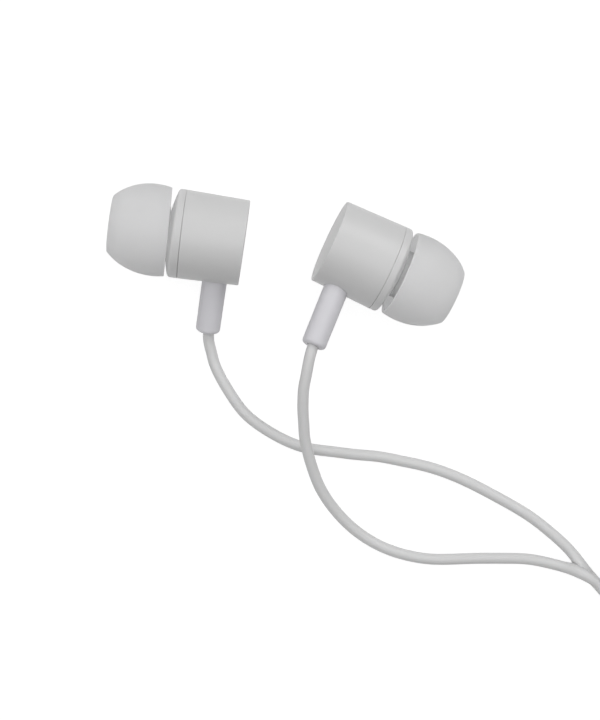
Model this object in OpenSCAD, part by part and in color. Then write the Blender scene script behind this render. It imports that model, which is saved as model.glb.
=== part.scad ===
// Wired in-ear earphones: two round earpieces on a bonded twin lead, with a 3.5 mm plug.
// They lie on a flat surface at z = 0. The rest of the lead is wound in a coil beside them.
// Each earpiece is drawn along its own axis: z = 0 is the parting line of its shell,
// +z runs towards the ear tip, and the lead leaves along +x.

/* [Shell] */
// Diameter of the closed back of the rear shell
shell_back_d = 11.45; // [11.2:0.05:11.6]
// Diameter of both shells where they meet
shell_d = 11.9; // [11.7:0.05:12]
// Length of the rear shell, from its back to the parting line
shell_len = 8.45; // [8.3:0.05:9.5]
// Thickness of the shells' walls
shell_wall = 0.9; // [0.8:0.05:0.95]
// Length of the front shell's straight band
band_len = 0.74; // [0.66:0.02:0.8]
// Radius of the front shell's round shoulder
shoulder_r = 0.4; // [0.35:0.05:0.6]

/* [Nozzle and ear tip] */
// Outside diameter of the nozzle's tube
nozzle_d = 4.6; // [4.4:0.1:4.8]
// Diameter of the sound bore through the nozzle
nozzle_bore_d = 3.4; // [3:0.1:3.6]
// Distance from the parting line to the end of the nozzle
nozzle_end = 7; // [6.6:0.1:7.2]
// Largest diameter of the ear tip
tip_d = 12.1; // [11.8:0.1:12.4]
// Length of the ear tip
tip_len = 7.8; // [7.7:0.1:8.1]
// Thickness of the ear tip's skirt at its rim
tip_wall = 0.4; // [0.35:0.05:0.5]

/* [Driver] */
// Diameter of the driver's frame
driver_d = 8; // [7.8:0.1:8.2]
// Diameter of the magnet
magnet_d = 3.7; // [3.5:0.1:3.8]
// Diameter at the middle of the voice coil's winding
voice_coil_d = 4.35; // [4.3:0.01:4.4]

/* [Strain relief] */
// Diameter of the sleeve
sleeve_d = 3.35; // [3.1:0.05:3.4]
// Distance from the earpiece's axis to the end of the sleeve
sleeve_end = 13.6; // [13:0.1:14]
// Distance of the sleeve behind the parting line
sleeve_back = 5.2; // [5:0.1:5.3]

/* [Lead] */
// Diameter of each strand of the lead
lead_d = 1.5; // [1.4:0.05:1.5]
// Turns that the coil has side by side
coil_columns = 6; // [5:1:6]

/* [Plug] */
// Length of the contacts, from the handle's face to the point
plug_len = 14; // [14:0.25:15]
// Diameter of the handle
handle_d = 5.6; // [5.2:0.1:6]
// Length of the handle
handle_len = 17; // [15:0.5:18]

/* [Hidden] */

LEFT = 0;
RIGHT = 1;
$fn = 64;
eps = 0.01;

// Outline of the rear and front shells
shell_r = shell_d / 2;
back_r = shell_back_d / 2;
back_edge_r = 0.15;
groove = 0.1;
cavity_r = shell_r - shell_wall;
spigot_len = 1.6;
spigot_gap = 0.03;
// The front of the front shell is a shallow ball, whose centre lies far behind it.
// The shoulder's arc touches both the band and the ball.
dome_ball_r = 18.7;
shoulder_mid = shell_r - shoulder_r;
shoulder_reach = dome_ball_r - shoulder_r;
shoulder_turn = 90 - asin(shoulder_mid / shoulder_reach);
dome_centre = band_len - sqrt(pow(shoulder_reach, 2) - pow(shoulder_mid, 2));
dome_front = dome_centre + sqrt(pow(dome_ball_r, 2) - pow(nozzle_d / 2, 2));
barb_d = nozzle_d + 0.6;
barb_len = 0.9;
chamber_r = 3.4;
chamber_front = 1.0;

// The driver's stack, from its front to its back
driver_r = driver_d / 2;
gasket_len = 0.25;
driver_front = 0.2;
ledge_z = driver_front + gasket_len;
grille_t = 0.15;
frame_front = driver_front - grille_t;
rim_wall = 0.25;
seat_z = -0.7;
seat_r = driver_r - 0.55;
film_t = 0.1;
coil_top = seat_z + film_t;
coil_len = 0.9;
coil_t = 0.18;
dome_r = voice_coil_d / 2 + coil_t / 2;
dome_height = 0.25;
surround_r = dome_r + 0.08;
plate_top = coil_top - 0.35;
plate_t = 0.5;
magnet_len = 0.9;
cup_t = 0.4;
cup_gap = 0.22;
cup_r = voice_coil_d / 2 + cup_gap + 0.38;
driver_back = plate_top - plate_t - magnet_len - cup_t;
floor_t = 0.5;
centre_hole_r = 0.35;
vent_r = 0.22;
board_t = 0.35;
paper_t = 0.15;

// The ear tip's outline is part of an ellipse, cut off at the rim and the front
tip_r = tip_d / 2;
tip_waist = 1.9;
tip_half = 7.5;
core_d = barb_d + 0.1;
core_wall = 0.68;
core_gap = 0.05;
outlet_d = 4;
tip_seat = [1.82, 1.83];

// Strain relief on the earpiece. The left one sits deeper in its shell than the right
// one, which also leans a little towards the tip.
sleeve_out = [-0.58, 0.33];
sleeve_slant = [0, 1.2];
flange_r = 2;
flange_in = 3.45;
flange_t = 0.7;
hole_gap = 0.02;
sleeve_taper = 0.03;
socket_len = 1;
socket_gap = 0.05;
exit_reach = sleeve_end - socket_len;

// How the earpieces lie. The left one rests on its back edge, its tip and its sleeve.
// The right one leans on its tip, and its springy lead holds its back up a little.
lean = 5.8;
left_lift = asin((tip_r - back_r) / (shell_len + tip_seat[LEFT] + tip_waist));
lift = [left_lift, -lean];
yaw = [171.8, -24.5];
roll = [71.3, -101.5];
left_height = back_r + shell_len * sin(left_lift);
tip_height = norm([tip_r * cos(lean), tip_half * sin(lean)]);
right_height = tip_height + (tip_seat[RIGHT] + tip_waist) * sin(lean);
seat_height = [left_height, right_height];
seat_xy = [[-13.78, 4.22], [13.55, -0.26]];

// Lead: each strand's route from its sleeve to the coil, as hand-placed points.
// The strands are bonded from about x = 41, and the right one is the upper one there.
lead_r = lead_d / 2;
lead_sides = 8;
left_route = [
    [-10.36, -7.78, 1.96], [-10.38, -8.75, 1.65], [-10.34, -10.15, 1.2], [-10.05, -11.4, 0.9],
    [-9.7, -12.8, 0.77], [-9.1, -14.3, 0.75], [-7.5, -17.1, 0.75], [-5.5, -19.8, 0.75],
    [-3, -21.8, 0.75], [-0.2, -23.4, 0.75], [2.8, -24.5, 0.75], [6.2, -25, 0.75],
    [9.4, -25.4, 0.75], [12.6, -25.7, 0.75], [15.8, -26.3, 0.75], [19, -27, 0.75],
    [22.1, -28, 0.75], [25.1, -29.3, 0.75], [28, -30.8, 0.75], [30.9, -32.4, 0.75],
    [33.6, -34.1, 0.75], [36, -36, 0.75], [38, -37.8, 0.75], [39.5, -39.5, 0.75],
    [40.8, -41.2, 0.75], [41.9, -42.5, 0.75], [42.8, -43.5, 0.75], [44.6, -45.7, 0.8],
    [46.5, -47.9, 0.92], [48.2, -49.9, 1.02], [49.6, -51.6, 1.05]
];
right_route = [
    [4.07, -9.86, 9.52], [3.72, -10.75, 9.71], [3.45, -11.6, 9.85], [3.1, -13.1, 9.8],
    [2.8, -14.7, 9.5], [2.5, -16.3, 9.05], [2.4, -17.9, 8.5], [2.4, -19.5, 7.9],
    [2.5, -21.1, 7.25], [2.6, -22.7, 6.6], [2.9, -24.3, 5.95], [3.3, -25.9, 5.3],
    [3.8, -27.5, 4.6], [4.4, -29.1, 3.95], [6, -31.9, 2.7], [8.1, -34.4, 1.65],
    [10.6, -36.5, 0.95], [13.5, -38.1, 0.76], [16.6, -39.1, 0.75], [19.8, -39.6, 0.75],
    [23.1, -39.6, 0.75], [26.3, -39.5, 0.75], [29.6, -39.5, 0.75], [32.8, -39.6, 0.75],
    [36, -40.2, 0.77], [37.9, -40.7, 0.95], [39.4, -41.2, 1.8], [41.1, -42, 2.25],
    [42, -42.6, 2.25], [42.8, -43.5, 2.25], [44.6, -45.7, 2.3], [46.5, -47.9, 2.42],
    [48.2, -49.9, 2.52], [49.6, -51.6, 2.55]
];
// Lower strand's route from the coil to the plug; the upper strand lies on it
tail_route = [
    [83.75, -39.7, 4.05], [83.77, -37.7, 4], [83.9, -35.3, 3.65], [84.1, -33, 3],
    [84.3, -30.5, 2.35], [84.4, -29, 2.07], [84.4, -28, 2.05]
];

// Coil: its turns lie side by side, and in each the strands stand on each other
coil_at = [64.4, -39.1];
coil_base = 0.3;
coil_layers = 2;
coil_outer_r = 20.1;
coil_inner_r = coil_outer_r - coil_columns * lead_d;
coil_height = coil_layers * 2 * lead_d;
tie_w = 3;
tie_t = 0.25;
tie_gap = 0.03;
tie_angle = 115;
tie_end = 5;

// Plug: its axis lies along +y, and its contacts are tubes inside each other
plug_at = [84.4, -28, handle_d / 2];
relief_len = 8;
relief_small_r = 1.75;
relief_large_r = 2.45;
plug_r = 1.75;
tip_contact_len = 3.6;
ring_contact_len = 2.6;
insulator_len = 0.6;
ring_from = plug_len - tip_contact_len - insulator_len - ring_contact_len;
sleeve_to = ring_from - insulator_len;
rod_r = 0.4;
wall_step = 0.3;
socket_depth = 5;
stem_r = 1.55;

// Points of an arc about (x, z), for the outline of a turned shape
function arc(x, z, r, from, to, n) = [
    for (i = [0:n])
        let (a = from + (to - from) * i / n)
            [x + r * cos(a), z + r * sin(a)]
];

// Radius and height of the ear tip's outline, t along it from its rim; inset is the wall
function tip_point(t, inset) =
    let (half = tip_half - 2 * inset, c = (t - tip_waist) / half)
        [(tip_r - inset) * sqrt(1 - c * c), t];

// Height of the front shell's ball at a radius
function dome_z(r) = dome_centre + sqrt(pow(dome_ball_r, 2) - r * r);

function unit(v) = v / norm(v);

// Direction of a route at its i-th point
function route_dir(route, i) =
    unit(route[min(i + 1, len(route) - 1)] - route[max(i - 1, 0)]);

// Corners of the ring of a tube about the i-th point of its route
function ring_points(route, i, r, sides) =
    let (d = route_dir(route, i), side = unit(cross(d, [0, 0, 1])), up = cross(side, d))
        [for (k = [0:sides - 1]) route[i] + r * (side * cos(k * 360 / sides) + up * sin(k * 360 / sides))];

// Closed tube of radius r about the points of a route
module tube(route, r, sides) {
    rings = len(route);
    points = [for (i = [0:rings - 1]) each ring_points(route, i, r, sides)];
    walls = [
        for (i = [0:rings - 2], k = [0:sides - 1])
            let (a = i * sides + k, b = i * sides + (k + 1) % sides)
                [a, b, b + sides, a + sides]
    ];
    first = [[for (k = [sides - 1:-1:0]) k]];
    last = [[for (k = [0:sides - 1]) (rings - 1) * sides + k]];
    polyhedron(points = points, faces = concat(first, walls, last), convexity = 10);
}

// Moves a piece of an earpiece to where the left or right one lies
module seat(side) {
    translate([seat_xy[side][0], seat_xy[side][1], seat_height[side]])
        rotate([0, 0, yaw[side]])
            rotate([0, 90 - lift[side], 0])
                rotate([0, 0, roll[side]])
                    children();
}

// Stands a piece drawn along +z out of the shell's side, at the sleeve's place
module sleeve_axis(side) {
    translate([0, 0, -sleeve_back])
        rotate([0, 90 - sleeve_slant[side], 0])
            children();
}

// Ring or disc between two heights
module ring(inner_r, outer_r, z, height) {
    translate([0, 0, z])
        difference() {
            cylinder(r = outer_r, h = height);
            if (inner_r > 0)
                translate([0, 0, -1])
                    cylinder(r = inner_r, h = height + 2);
        }
}

// Row of holes on a circle, along the axis
module hole_circle(count, at_r, r, z, height) {
    for (i = [0:count - 1])
        rotate([0, 0, i * 360 / count])
            translate([at_r, 0, z])
                cylinder(r = r, h = height);
}

// ---- Ear tip: soft sleeve on the nozzle, whose front folds back as a round skirt ----
module ear_tip(side) {
    skirt_end = tip_len - 1.15;
    front_r = 0.35;
    outer = [for (i = [0:20]) tip_point((tip_len - front_r) * i / 20, 0)];
    front_edge = tip_point(tip_len - front_r, 0)[0] - front_r;
    inner = [for (i = [0:14]) tip_point(skirt_end * (14 - i) / 14, tip_wall)];
    core_r = core_d / 2;
    core_start = dome_z(core_r) + core_gap - tip_seat[side];
    core_stop = nozzle_end - tip_seat[side] + 0.2;
    outlet_r = outlet_d / 2;
    color([0.93, 0.93, 0.94])
        translate([0, 0, tip_seat[side]])
            rotate_extrude()
                polygon(concat(
                    outer,
                    arc(front_edge, tip_len - front_r, front_r, 30, 90, 4),
                    [[outlet_r + 0.25, tip_len], [outlet_r, tip_len - 0.25]],
                    [[outlet_r, core_stop], [core_r, core_stop], [core_r, core_start]],
                    [[core_r + core_wall, core_start], [core_r + core_wall, skirt_end - 0.4]],
                    [[core_r + core_wall + 0.4, skirt_end]],
                    [for (p = inner) if (p[0] > core_r + core_wall + 0.4) p]
                ));
}

// ---- Front shell: band, shallow domed front and the nozzle, with a spigot behind ----
module front_shell() {
    nozzle_r = nozzle_d / 2;
    bore_r = nozzle_bore_d / 2;
    spigot_r = cavity_r - spigot_gap;
    dome_edge = shoulder_mid + shoulder_r * cos(shoulder_turn);
    dome = [for (i = [1:8]) let (r = dome_edge + (nozzle_r - dome_edge) * i / 8) [r, dome_z(r)]];
    color([0.86, 0.86, 0.86])
        rotate_extrude()
            polygon(concat(
                [[driver_r, -spigot_len], [spigot_r, -spigot_len], [spigot_r, 0]],
                [[shell_r - groove, 0], [shell_r, groove]],
                arc(shoulder_mid, band_len, shoulder_r, 0, shoulder_turn, 6),
                dome,
                [[nozzle_r, nozzle_end - barb_len - 0.3], [barb_d / 2, nozzle_end - barb_len]],
                [[barb_d / 2, nozzle_end - barb_len + 0.25], [nozzle_r, nozzle_end]],
                [[bore_r + 0.3, nozzle_end], [bore_r + 0.3, nozzle_end - 0.3]],
                [[bore_r, nozzle_end - 0.3], [bore_r, dome_front]],
                [[chamber_r, chamber_front], [chamber_r, ledge_z], [driver_r, ledge_z]]
            ));
}

// ---- Nozzle mesh: woven screen set in the end of the nozzle ----
module nozzle_mesh() {
    mesh_r = nozzle_bore_d / 2 + 0.28;
    color([0.55, 0.56, 0.58])
        ring(0, mesh_r, nozzle_end - 0.3, 0.15);
}

// ---- Rear shell: slightly conical cup with a closed back and a hole for the sleeve ----
module rear_shell(side) {
    back_wall = 1;
    color([0.86, 0.86, 0.86])
        difference() {
            rotate_extrude()
                polygon(concat(
                    [[0, -shell_len]],
                    arc(back_r - back_edge_r, back_edge_r - shell_len, back_edge_r, -90, 0, 5),
                    [[shell_r, -groove], [shell_r - groove, 0], [cavity_r, 0]],
                    [[cavity_r, back_wall - shell_len], [0, back_wall - shell_len]]
                ));
            sleeve_axis(side)
                cylinder(d = sleeve_d + 2 * hole_gap, h = shell_d);
        }
}

// ---- Strain relief: soft sleeve with a round end and a flange inside the shell ----
module strain_relief(side) {
    sleeve_r = sleeve_d / 2;
    end_r = 0.5;
    tube_end = sleeve_r - sleeve_taper;
    socket_r = lead_r + socket_gap;
    lip = 0.12;
    color([0.9, 0.9, 0.92])
        sleeve_axis(side)
            translate([0, 0, sleeve_out[side]])
                rotate_extrude()
                    polygon(concat(
                        [[0, flange_in], [flange_r, flange_in], [flange_r, flange_in + flange_t]],
                        [[sleeve_r, flange_in + flange_t], [sleeve_r, shell_r + 1]],
                        arc(tube_end - end_r, sleeve_end - end_r, end_r, 0, 90, 6),
                        [[socket_r + lip, sleeve_end], [socket_r, sleeve_end - lip]],
                        [[socket_r, exit_reach], [0, exit_reach]]
                    ));
}

// ---- Gasket: foam ring between the driver and the front shell ----
module gasket() {
    color([0.2, 0.2, 0.22])
        ring(chamber_r, driver_r - 0.05, driver_front, gasket_len);
}

// ---- Front grille: pierced cap that holds the surround's edge down ----
module front_grille() {
    cap_r = driver_r - rim_wall - 0.02;
    rim_in = seat_r + 0.1;
    color([0.75, 0.73, 0.66])
        difference() {
            union() {
                ring(0, cap_r, frame_front, grille_t);
                ring(rim_in, cap_r, coil_top, frame_front - coil_top);
            }
            hole_circle(1, 0, 0.5, frame_front - 1, 2);
            hole_circle(8, 2, 0.4, frame_front - 1, 2);
        }
}

// ---- Diaphragm: thin dome over the voice coil ----
module diaphragm() {
    ball_r = (dome_r * dome_r + dome_height * dome_height) / (2 * dome_height);
    ball_z = coil_top + film_t + dome_height - ball_r;
    outer_half = asin(dome_r / ball_r);
    inner_r = dome_r - coil_t;
    inner_half = asin(inner_r / (ball_r - film_t));
    color([0.8, 0.82, 0.85])
        rotate_extrude()
            polygon(concat(
                [[inner_r, coil_top], [dome_r, coil_top]],
                arc(0, ball_z, ball_r, 90 - outer_half, 90, 12),
                arc(0, ball_z, ball_r - film_t, 90, 90 - inner_half, 12)
            ));
}

// ---- Voice coil: winding that hangs from the dome's edge in the magnet's gap ----
module voice_coil() {
    color([0.72, 0.45, 0.2])
        ring(dome_r - coil_t, dome_r, coil_top - coil_len, coil_len);
}

// ---- Surround: half-round roll of film between the dome and the frame ----
module surround() {
    flange = seat_r - 0.05;
    roll_mid = (surround_r + 0.15 + flange) / 2;
    arc_r = flange - roll_mid - film_t;
    arc_z = seat_z - arc_r * sin(30);
    color([0.85, 0.86, 0.88])
        rotate_extrude()
            polygon(concat(
                [[surround_r, seat_z]],
                arc(roll_mid, arc_z, arc_r, 150, 30, 10),
                [[driver_r - rim_wall - 0.02, seat_z], [driver_r - rim_wall - 0.02, coil_top]],
                arc(roll_mid, arc_z + film_t, arc_r, 30, 150, 10),
                [[surround_r, coil_top]]
            ));
}

// ---- Driver frame: basket that carries the magnet cup, with vents in its floor ----
module driver_frame() {
    wall_in = driver_r - rim_wall;
    color([0.25, 0.26, 0.28])
        difference() {
            rotate_extrude()
                polygon([
                    [cup_r, driver_back], [driver_r, driver_back], [driver_r, frame_front + grille_t],
                    [wall_in, frame_front + grille_t], [wall_in, seat_z], [seat_r, seat_z],
                    [seat_r, driver_back + floor_t], [cup_r, driver_back + floor_t]
                ]);
            hole_circle(6, (cup_r + seat_r) / 2, vent_r, driver_back - 1, 3);
        }
}

// ---- Top plate: steel washer on the magnet ----
module top_plate() {
    color([0.6, 0.61, 0.63])
        ring(centre_hole_r, magnet_d / 2 + 0.1, plate_top - plate_t, plate_t);
}

// ---- Magnet ----
module magnet() {
    color([0.45, 0.45, 0.48])
        ring(centre_hole_r, magnet_d / 2, plate_top - plate_t - magnet_len, magnet_len);
}

// ---- Yoke: steel cup around the magnet ----
module yoke() {
    inner_r = voice_coil_d / 2 + cup_gap;
    color([0.6, 0.61, 0.63])
        difference() {
            ring(centre_hole_r, cup_r, driver_back, plate_top - driver_back);
            ring(0, inner_r, driver_back + cup_t, plate_top - driver_back);
        }
}

// ---- Terminal board: crescent with two solder pads, behind the driver's floor ----
module terminal_board() {
    inner_r = cup_r - 0.9;
    color([0.15, 0.4, 0.25])
        union() {
            difference() {
                ring(inner_r, driver_r - 0.3, driver_back - board_t, board_t);
                translate([-driver_d - 1.2, -driver_r, driver_back - 1])
                    cube([driver_d + 2, driver_d, 2]);
            }
            for (y = [-1, 1])
                translate([2.7, y, driver_back - board_t - 0.12])
                    cylinder(r = 0.45, h = 0.13);
        }
}

// ---- Damping paper: half ring over the frame's other vents ----
module damping_paper() {
    color([0.85, 0.82, 0.7])
        difference() {
            ring(cup_r + 0.1, driver_r - 0.1, driver_back - paper_t, paper_t);
            translate([0.6, -driver_r, driver_back - 1])
                cube([driver_r, driver_d, 2]);
        }
}

// ---- Inner wires: two enamelled wires from the sleeve to the board's pads ----
module inner_wires(side) {
    pad_z = driver_back - board_t - 0.12;
    wire_x = flange_in + sleeve_out[side];
    wire_r = 0.12;
    color([0.7, 0.35, 0.2])
        for (y = [-1, 1])
            tube([
                [wire_x, y * 0.35, -sleeve_back], [wire_x - 0.3, y * 0.4, -sleeve_back],
                [2.4, y * 0.6, 0.3 - sleeve_back], [2.3, y * 0.8, 0.8 - sleeve_back],
                [2.5, y * 0.95, pad_z - 0.45], [2.7, y, pad_z]
            ], wire_r, 6);
}

// ---- Leads: one strand from each earpiece, bonded together before the coil ----
module lead(route) {
    color([0.88, 0.88, 0.88])
        tube(route, lead_r, lead_sides);
}

module lead_coil() {
    color([0.88, 0.88, 0.88])
        translate([coil_at[0], coil_at[1], coil_base])
            rotate_extrude()
                translate([coil_inner_r, 0])
                    square([coil_outer_r - coil_inner_r, coil_height]);
}

module lead_tail() {
    upper = [for (p = tail_route) p + [0, 0, lead_d]];
    color([0.88, 0.88, 0.88])
        union() {
            tube(tail_route, lead_r, lead_sides);
            tube(upper, lead_r, lead_sides);
        }
}

// ---- Coil tie: coated wire strip around the coil, with its ends twisted together ----
module coil_tie() {
    band_in = coil_inner_r - 0.25;
    band_out = coil_outer_r + 0.05;
    band_top = coil_base + coil_height + tie_gap;
    band_bottom = coil_base - tie_gap;
    color([0.92, 0.92, 0.92])
        translate([coil_at[0], coil_at[1], 0])
            rotate([0, 0, tie_angle])
                union() {
                    translate([0, tie_w / 2, 0])
                        rotate([90, 0, 0])
                            linear_extrude(height = tie_w)
                                difference() {
                                    translate([band_in - tie_t, band_bottom - tie_t])
                                        square([band_out - band_in + 2 * tie_t, band_top - band_bottom + 2 * tie_t]);
                                    translate([band_in, band_bottom])
                                        square([band_out - band_in, band_top - band_bottom]);
                                }
                    translate([band_out + tie_t / 2, 0, coil_base + coil_height / 2])
                        rotate([0, 90, 0])
                            cylinder(r = 0.6, h = tie_end);
                }
}

// ---- Plug ----
module along_plug() {
    translate(plug_at)
        rotate([-90, 0, 0])
            children();
}

module plug_strain_relief() {
    color([0.9, 0.9, 0.92])
        along_plug()
            cylinder(r1 = relief_small_r, r2 = relief_large_r, h = relief_len);
}

module plug_handle() {
    handle_r = handle_d / 2;
    edge = 0.5;
    color([0.9, 0.9, 0.92])
        along_plug()
            translate([0, 0, relief_len])
                rotate_extrude()
                    polygon(concat(
                        [[0, 0]],
                        arc(handle_r - edge, edge, edge, -90, 0, 5),
                        arc(handle_r - edge, handle_len - edge, edge, 0, 90, 5),
                        [[stem_r, handle_len], [stem_r, handle_len - socket_depth]],
                        [[0, handle_len - socket_depth]]
                    ));
}

// Contacts' own frame: z = 0 is the handle's face, and +z runs to the point
module along_contacts() {
    along_plug()
        translate([0, 0, relief_len + handle_len])
            children();
}

module plug_sleeve_contact() {
    tube_in = rod_r + 3 * wall_step;
    color([0.8, 0.8, 0.8])
        along_contacts()
            union() {
                ring(tube_in, plug_r, 0, sleeve_to);
                ring(tube_in, stem_r, -socket_depth + 0.5, socket_depth - 0.5 + eps);
            }
}

module plug_rear_insulator() {
    tube_in = rod_r + 2 * wall_step;
    color([0.15, 0.15, 0.16])
        along_contacts()
            union() {
                ring(tube_in, tube_in + wall_step, -socket_depth + 0.25, sleeve_to + socket_depth - 0.25 + eps);
                ring(tube_in, plug_r, sleeve_to, insulator_len);
            }
}

module plug_ring_contact() {
    tube_in = rod_r + wall_step;
    color([0.8, 0.8, 0.8])
        along_contacts()
            union() {
                ring(tube_in, tube_in + wall_step, -socket_depth + 0.25, ring_from + socket_depth - 0.25 + eps);
                ring(tube_in, plug_r, ring_from, ring_contact_len);
            }
}

module plug_front_insulator() {
    front_from = ring_from + ring_contact_len;
    color([0.15, 0.15, 0.16])
        along_contacts()
            union() {
                ring(rod_r, rod_r + wall_step, -socket_depth + 0.25, front_from + socket_depth - 0.25 + eps);
                ring(rod_r, plug_r, front_from, insulator_len);
            }
}

module plug_tip_contact() {
    head = plug_len - tip_contact_len;
    neck_r = 1.15;
    color([0.8, 0.8, 0.8])
        along_contacts()
            rotate_extrude()
                polygon(concat(
                    [[0, -socket_depth + 0.25], [rod_r, -socket_depth + 0.25], [rod_r, head]],
                    [[plug_r, head], [neck_r, head + 0.9], [plug_r - 0.15, head + 1.9]],
                    [[1.05, plug_len - 0.35], [0.7, plug_len - 0.08], [0, plug_len]]
                ));
}

seat(LEFT) ear_tip(LEFT);  // left_ear_tip
seat(LEFT) front_shell();  // left_front_shell
seat(LEFT) nozzle_mesh();  // left_nozzle_mesh
seat(LEFT) rear_shell(LEFT);  // left_rear_shell
seat(LEFT) strain_relief(LEFT);  // left_strain_relief
seat(LEFT) gasket();  // left_gasket
seat(LEFT) front_grille();  // left_front_grille
seat(LEFT) diaphragm();  // left_diaphragm
seat(LEFT) voice_coil();  // left_voice_coil
seat(LEFT) surround();  // left_surround
seat(LEFT) driver_frame();  // left_driver_frame
seat(LEFT) top_plate();  // left_top_plate
seat(LEFT) magnet();  // left_magnet
seat(LEFT) yoke();  // left_yoke
seat(LEFT) terminal_board();  // left_terminal_board
seat(LEFT) damping_paper();  // left_damping_paper
seat(LEFT) inner_wires(LEFT);  // left_inner_wires
lead(left_route);  // left_lead
seat(RIGHT) ear_tip(RIGHT);  // right_ear_tip
seat(RIGHT) front_shell();  // right_front_shell
seat(RIGHT) nozzle_mesh();  // right_nozzle_mesh
seat(RIGHT) rear_shell(RIGHT);  // right_rear_shell
seat(RIGHT) strain_relief(RIGHT);  // right_strain_relief
seat(RIGHT) gasket();  // right_gasket
seat(RIGHT) front_grille();  // right_front_grille
seat(RIGHT) diaphragm();  // right_diaphragm
seat(RIGHT) voice_coil();  // right_voice_coil
seat(RIGHT) surround();  // right_surround
seat(RIGHT) driver_frame();  // right_driver_frame
seat(RIGHT) top_plate();  // right_top_plate
seat(RIGHT) magnet();  // right_magnet
seat(RIGHT) yoke();  // right_yoke
seat(RIGHT) terminal_board();  // right_terminal_board
seat(RIGHT) damping_paper();  // right_damping_paper
seat(RIGHT) inner_wires(RIGHT);  // right_inner_wires
lead(right_route);  // right_lead
lead_coil();
lead_tail();
coil_tie();
plug_strain_relief();
plug_handle();
plug_sleeve_contact();
plug_ring_contact();
plug_tip_contact();
plug_rear_insulator();
plug_front_insulator();
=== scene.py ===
"""Wired in-ear earphones, dressed for the studio.

Two earpieces lie on a white table, on a bonded twin lead that splits towards them.
The rest of the lead is wound in a tied coil beside them, with its plug.
Sizes are in millimetres up to the moment a mesh is made, and in metres after it.
"""
import logging
import math
from collections.abc import Callable, Mapping, Sequence
from dataclasses import dataclass, field
from enum import Enum

import bpy
import numpy as np
from mathutils import Matrix


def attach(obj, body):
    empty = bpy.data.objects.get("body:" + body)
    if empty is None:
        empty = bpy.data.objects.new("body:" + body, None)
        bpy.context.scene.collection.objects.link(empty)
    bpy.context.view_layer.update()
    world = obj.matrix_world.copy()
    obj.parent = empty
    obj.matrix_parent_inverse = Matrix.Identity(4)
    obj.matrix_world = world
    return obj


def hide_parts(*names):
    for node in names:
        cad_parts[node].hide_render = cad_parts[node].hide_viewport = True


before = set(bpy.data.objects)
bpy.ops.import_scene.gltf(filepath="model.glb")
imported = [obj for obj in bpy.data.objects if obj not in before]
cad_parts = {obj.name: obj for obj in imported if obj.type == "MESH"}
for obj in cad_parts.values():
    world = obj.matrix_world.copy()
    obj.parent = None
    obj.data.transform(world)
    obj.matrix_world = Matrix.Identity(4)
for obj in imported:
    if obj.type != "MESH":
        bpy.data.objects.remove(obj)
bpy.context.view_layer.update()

LOG = logging.getLogger("earphones")
MM = 0.001
UM = 0.000001
ARC_POINTS = 7
Array = np.ndarray
Material = bpy.types.Material
Object = bpy.types.Object
Socket = bpy.types.NodeSocket


class Side(Enum):
    """The two earpieces, by the way they lie."""

    LEFT = "left"
    RIGHT = "right"

    def node(self, name: str) -> str:
        """Name of this side's CAD node or body."""
        return f"{self.value}_{name}"


class Lay(Enum):
    """Where a strand lies in the bonded lead; its value is the way in z to the other one."""

    LOWER = 1.0
    UPPER = -1.0


# ---------------------------------------------------------------- surfaces


@dataclass(frozen=True)
class Surface:
    """Points and faces of a surface, in millimetres, before Blender sees them.

    quads and triangles hold point numbers, and uv holds one place per point.
    """

    points: Array
    quads: Array
    triangles: Array
    uv: Array

    def moved(self, move: Callable[[Array], Array]) -> "Surface":
        """The same surface with its points moved by a function."""
        return Surface(move(self.points), self.quads, self.triangles, self.uv)


def joined(surfaces: Sequence[Surface]) -> Surface:
    """Puts surfaces in one, with their point numbers moved up.

    Args:
        surfaces: the surfaces, in order.

    Returns:
        One surface that holds them all.
    """
    starts = np.cumsum([0] + [len(s.points) for s in surfaces[:-1]])
    return Surface(
        np.vstack([s.points for s in surfaces]),
        np.vstack([s.quads + n for s, n in zip(surfaces, starts)]),
        np.vstack([s.triangles + n for s, n in zip(surfaces, starts)]),
        np.vstack([s.uv for s in surfaces]),
    )


def grid_quads(rows: int, columns: int, closed_rows: bool) -> Array:
    """Faces of a grid of rings: each point with its next one, and both on the next ring.

    Args:
        rows: number of rings of points.
        columns: number of points in a ring, whose last point meets its first.
        closed_rows: whether the last ring meets the first one too.

    Returns:
        Point numbers, four to a face, turning so that faces point outwards.
    """
    i = np.arange(rows if closed_rows else rows - 1)[:, None]
    j = np.arange(columns)[None, :]
    i_next, j_next = (i + 1) % rows, (j + 1) % columns
    corners = (i * columns + j, i * columns + j_next, i_next * columns + j_next, i_next * columns + j)
    return np.stack(np.broadcast_arrays(*corners), axis=-1).reshape(-1, 4)


def fan(centre: int, ring: Array, flip: bool) -> Array:
    """Triangles from a centre point to each side of a closed ring of points."""
    pair = (np.roll(ring, -1), ring) if flip else (ring, np.roll(ring, -1))
    return np.stack([np.full(len(ring), centre), *pair], axis=-1)


def way_along(path: Array) -> Array:
    """Distance along a line of points, from its first point to each."""
    return np.concatenate([[0], np.cumsum(np.linalg.norm(np.diff(path, axis=0), axis=1))])


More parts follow.
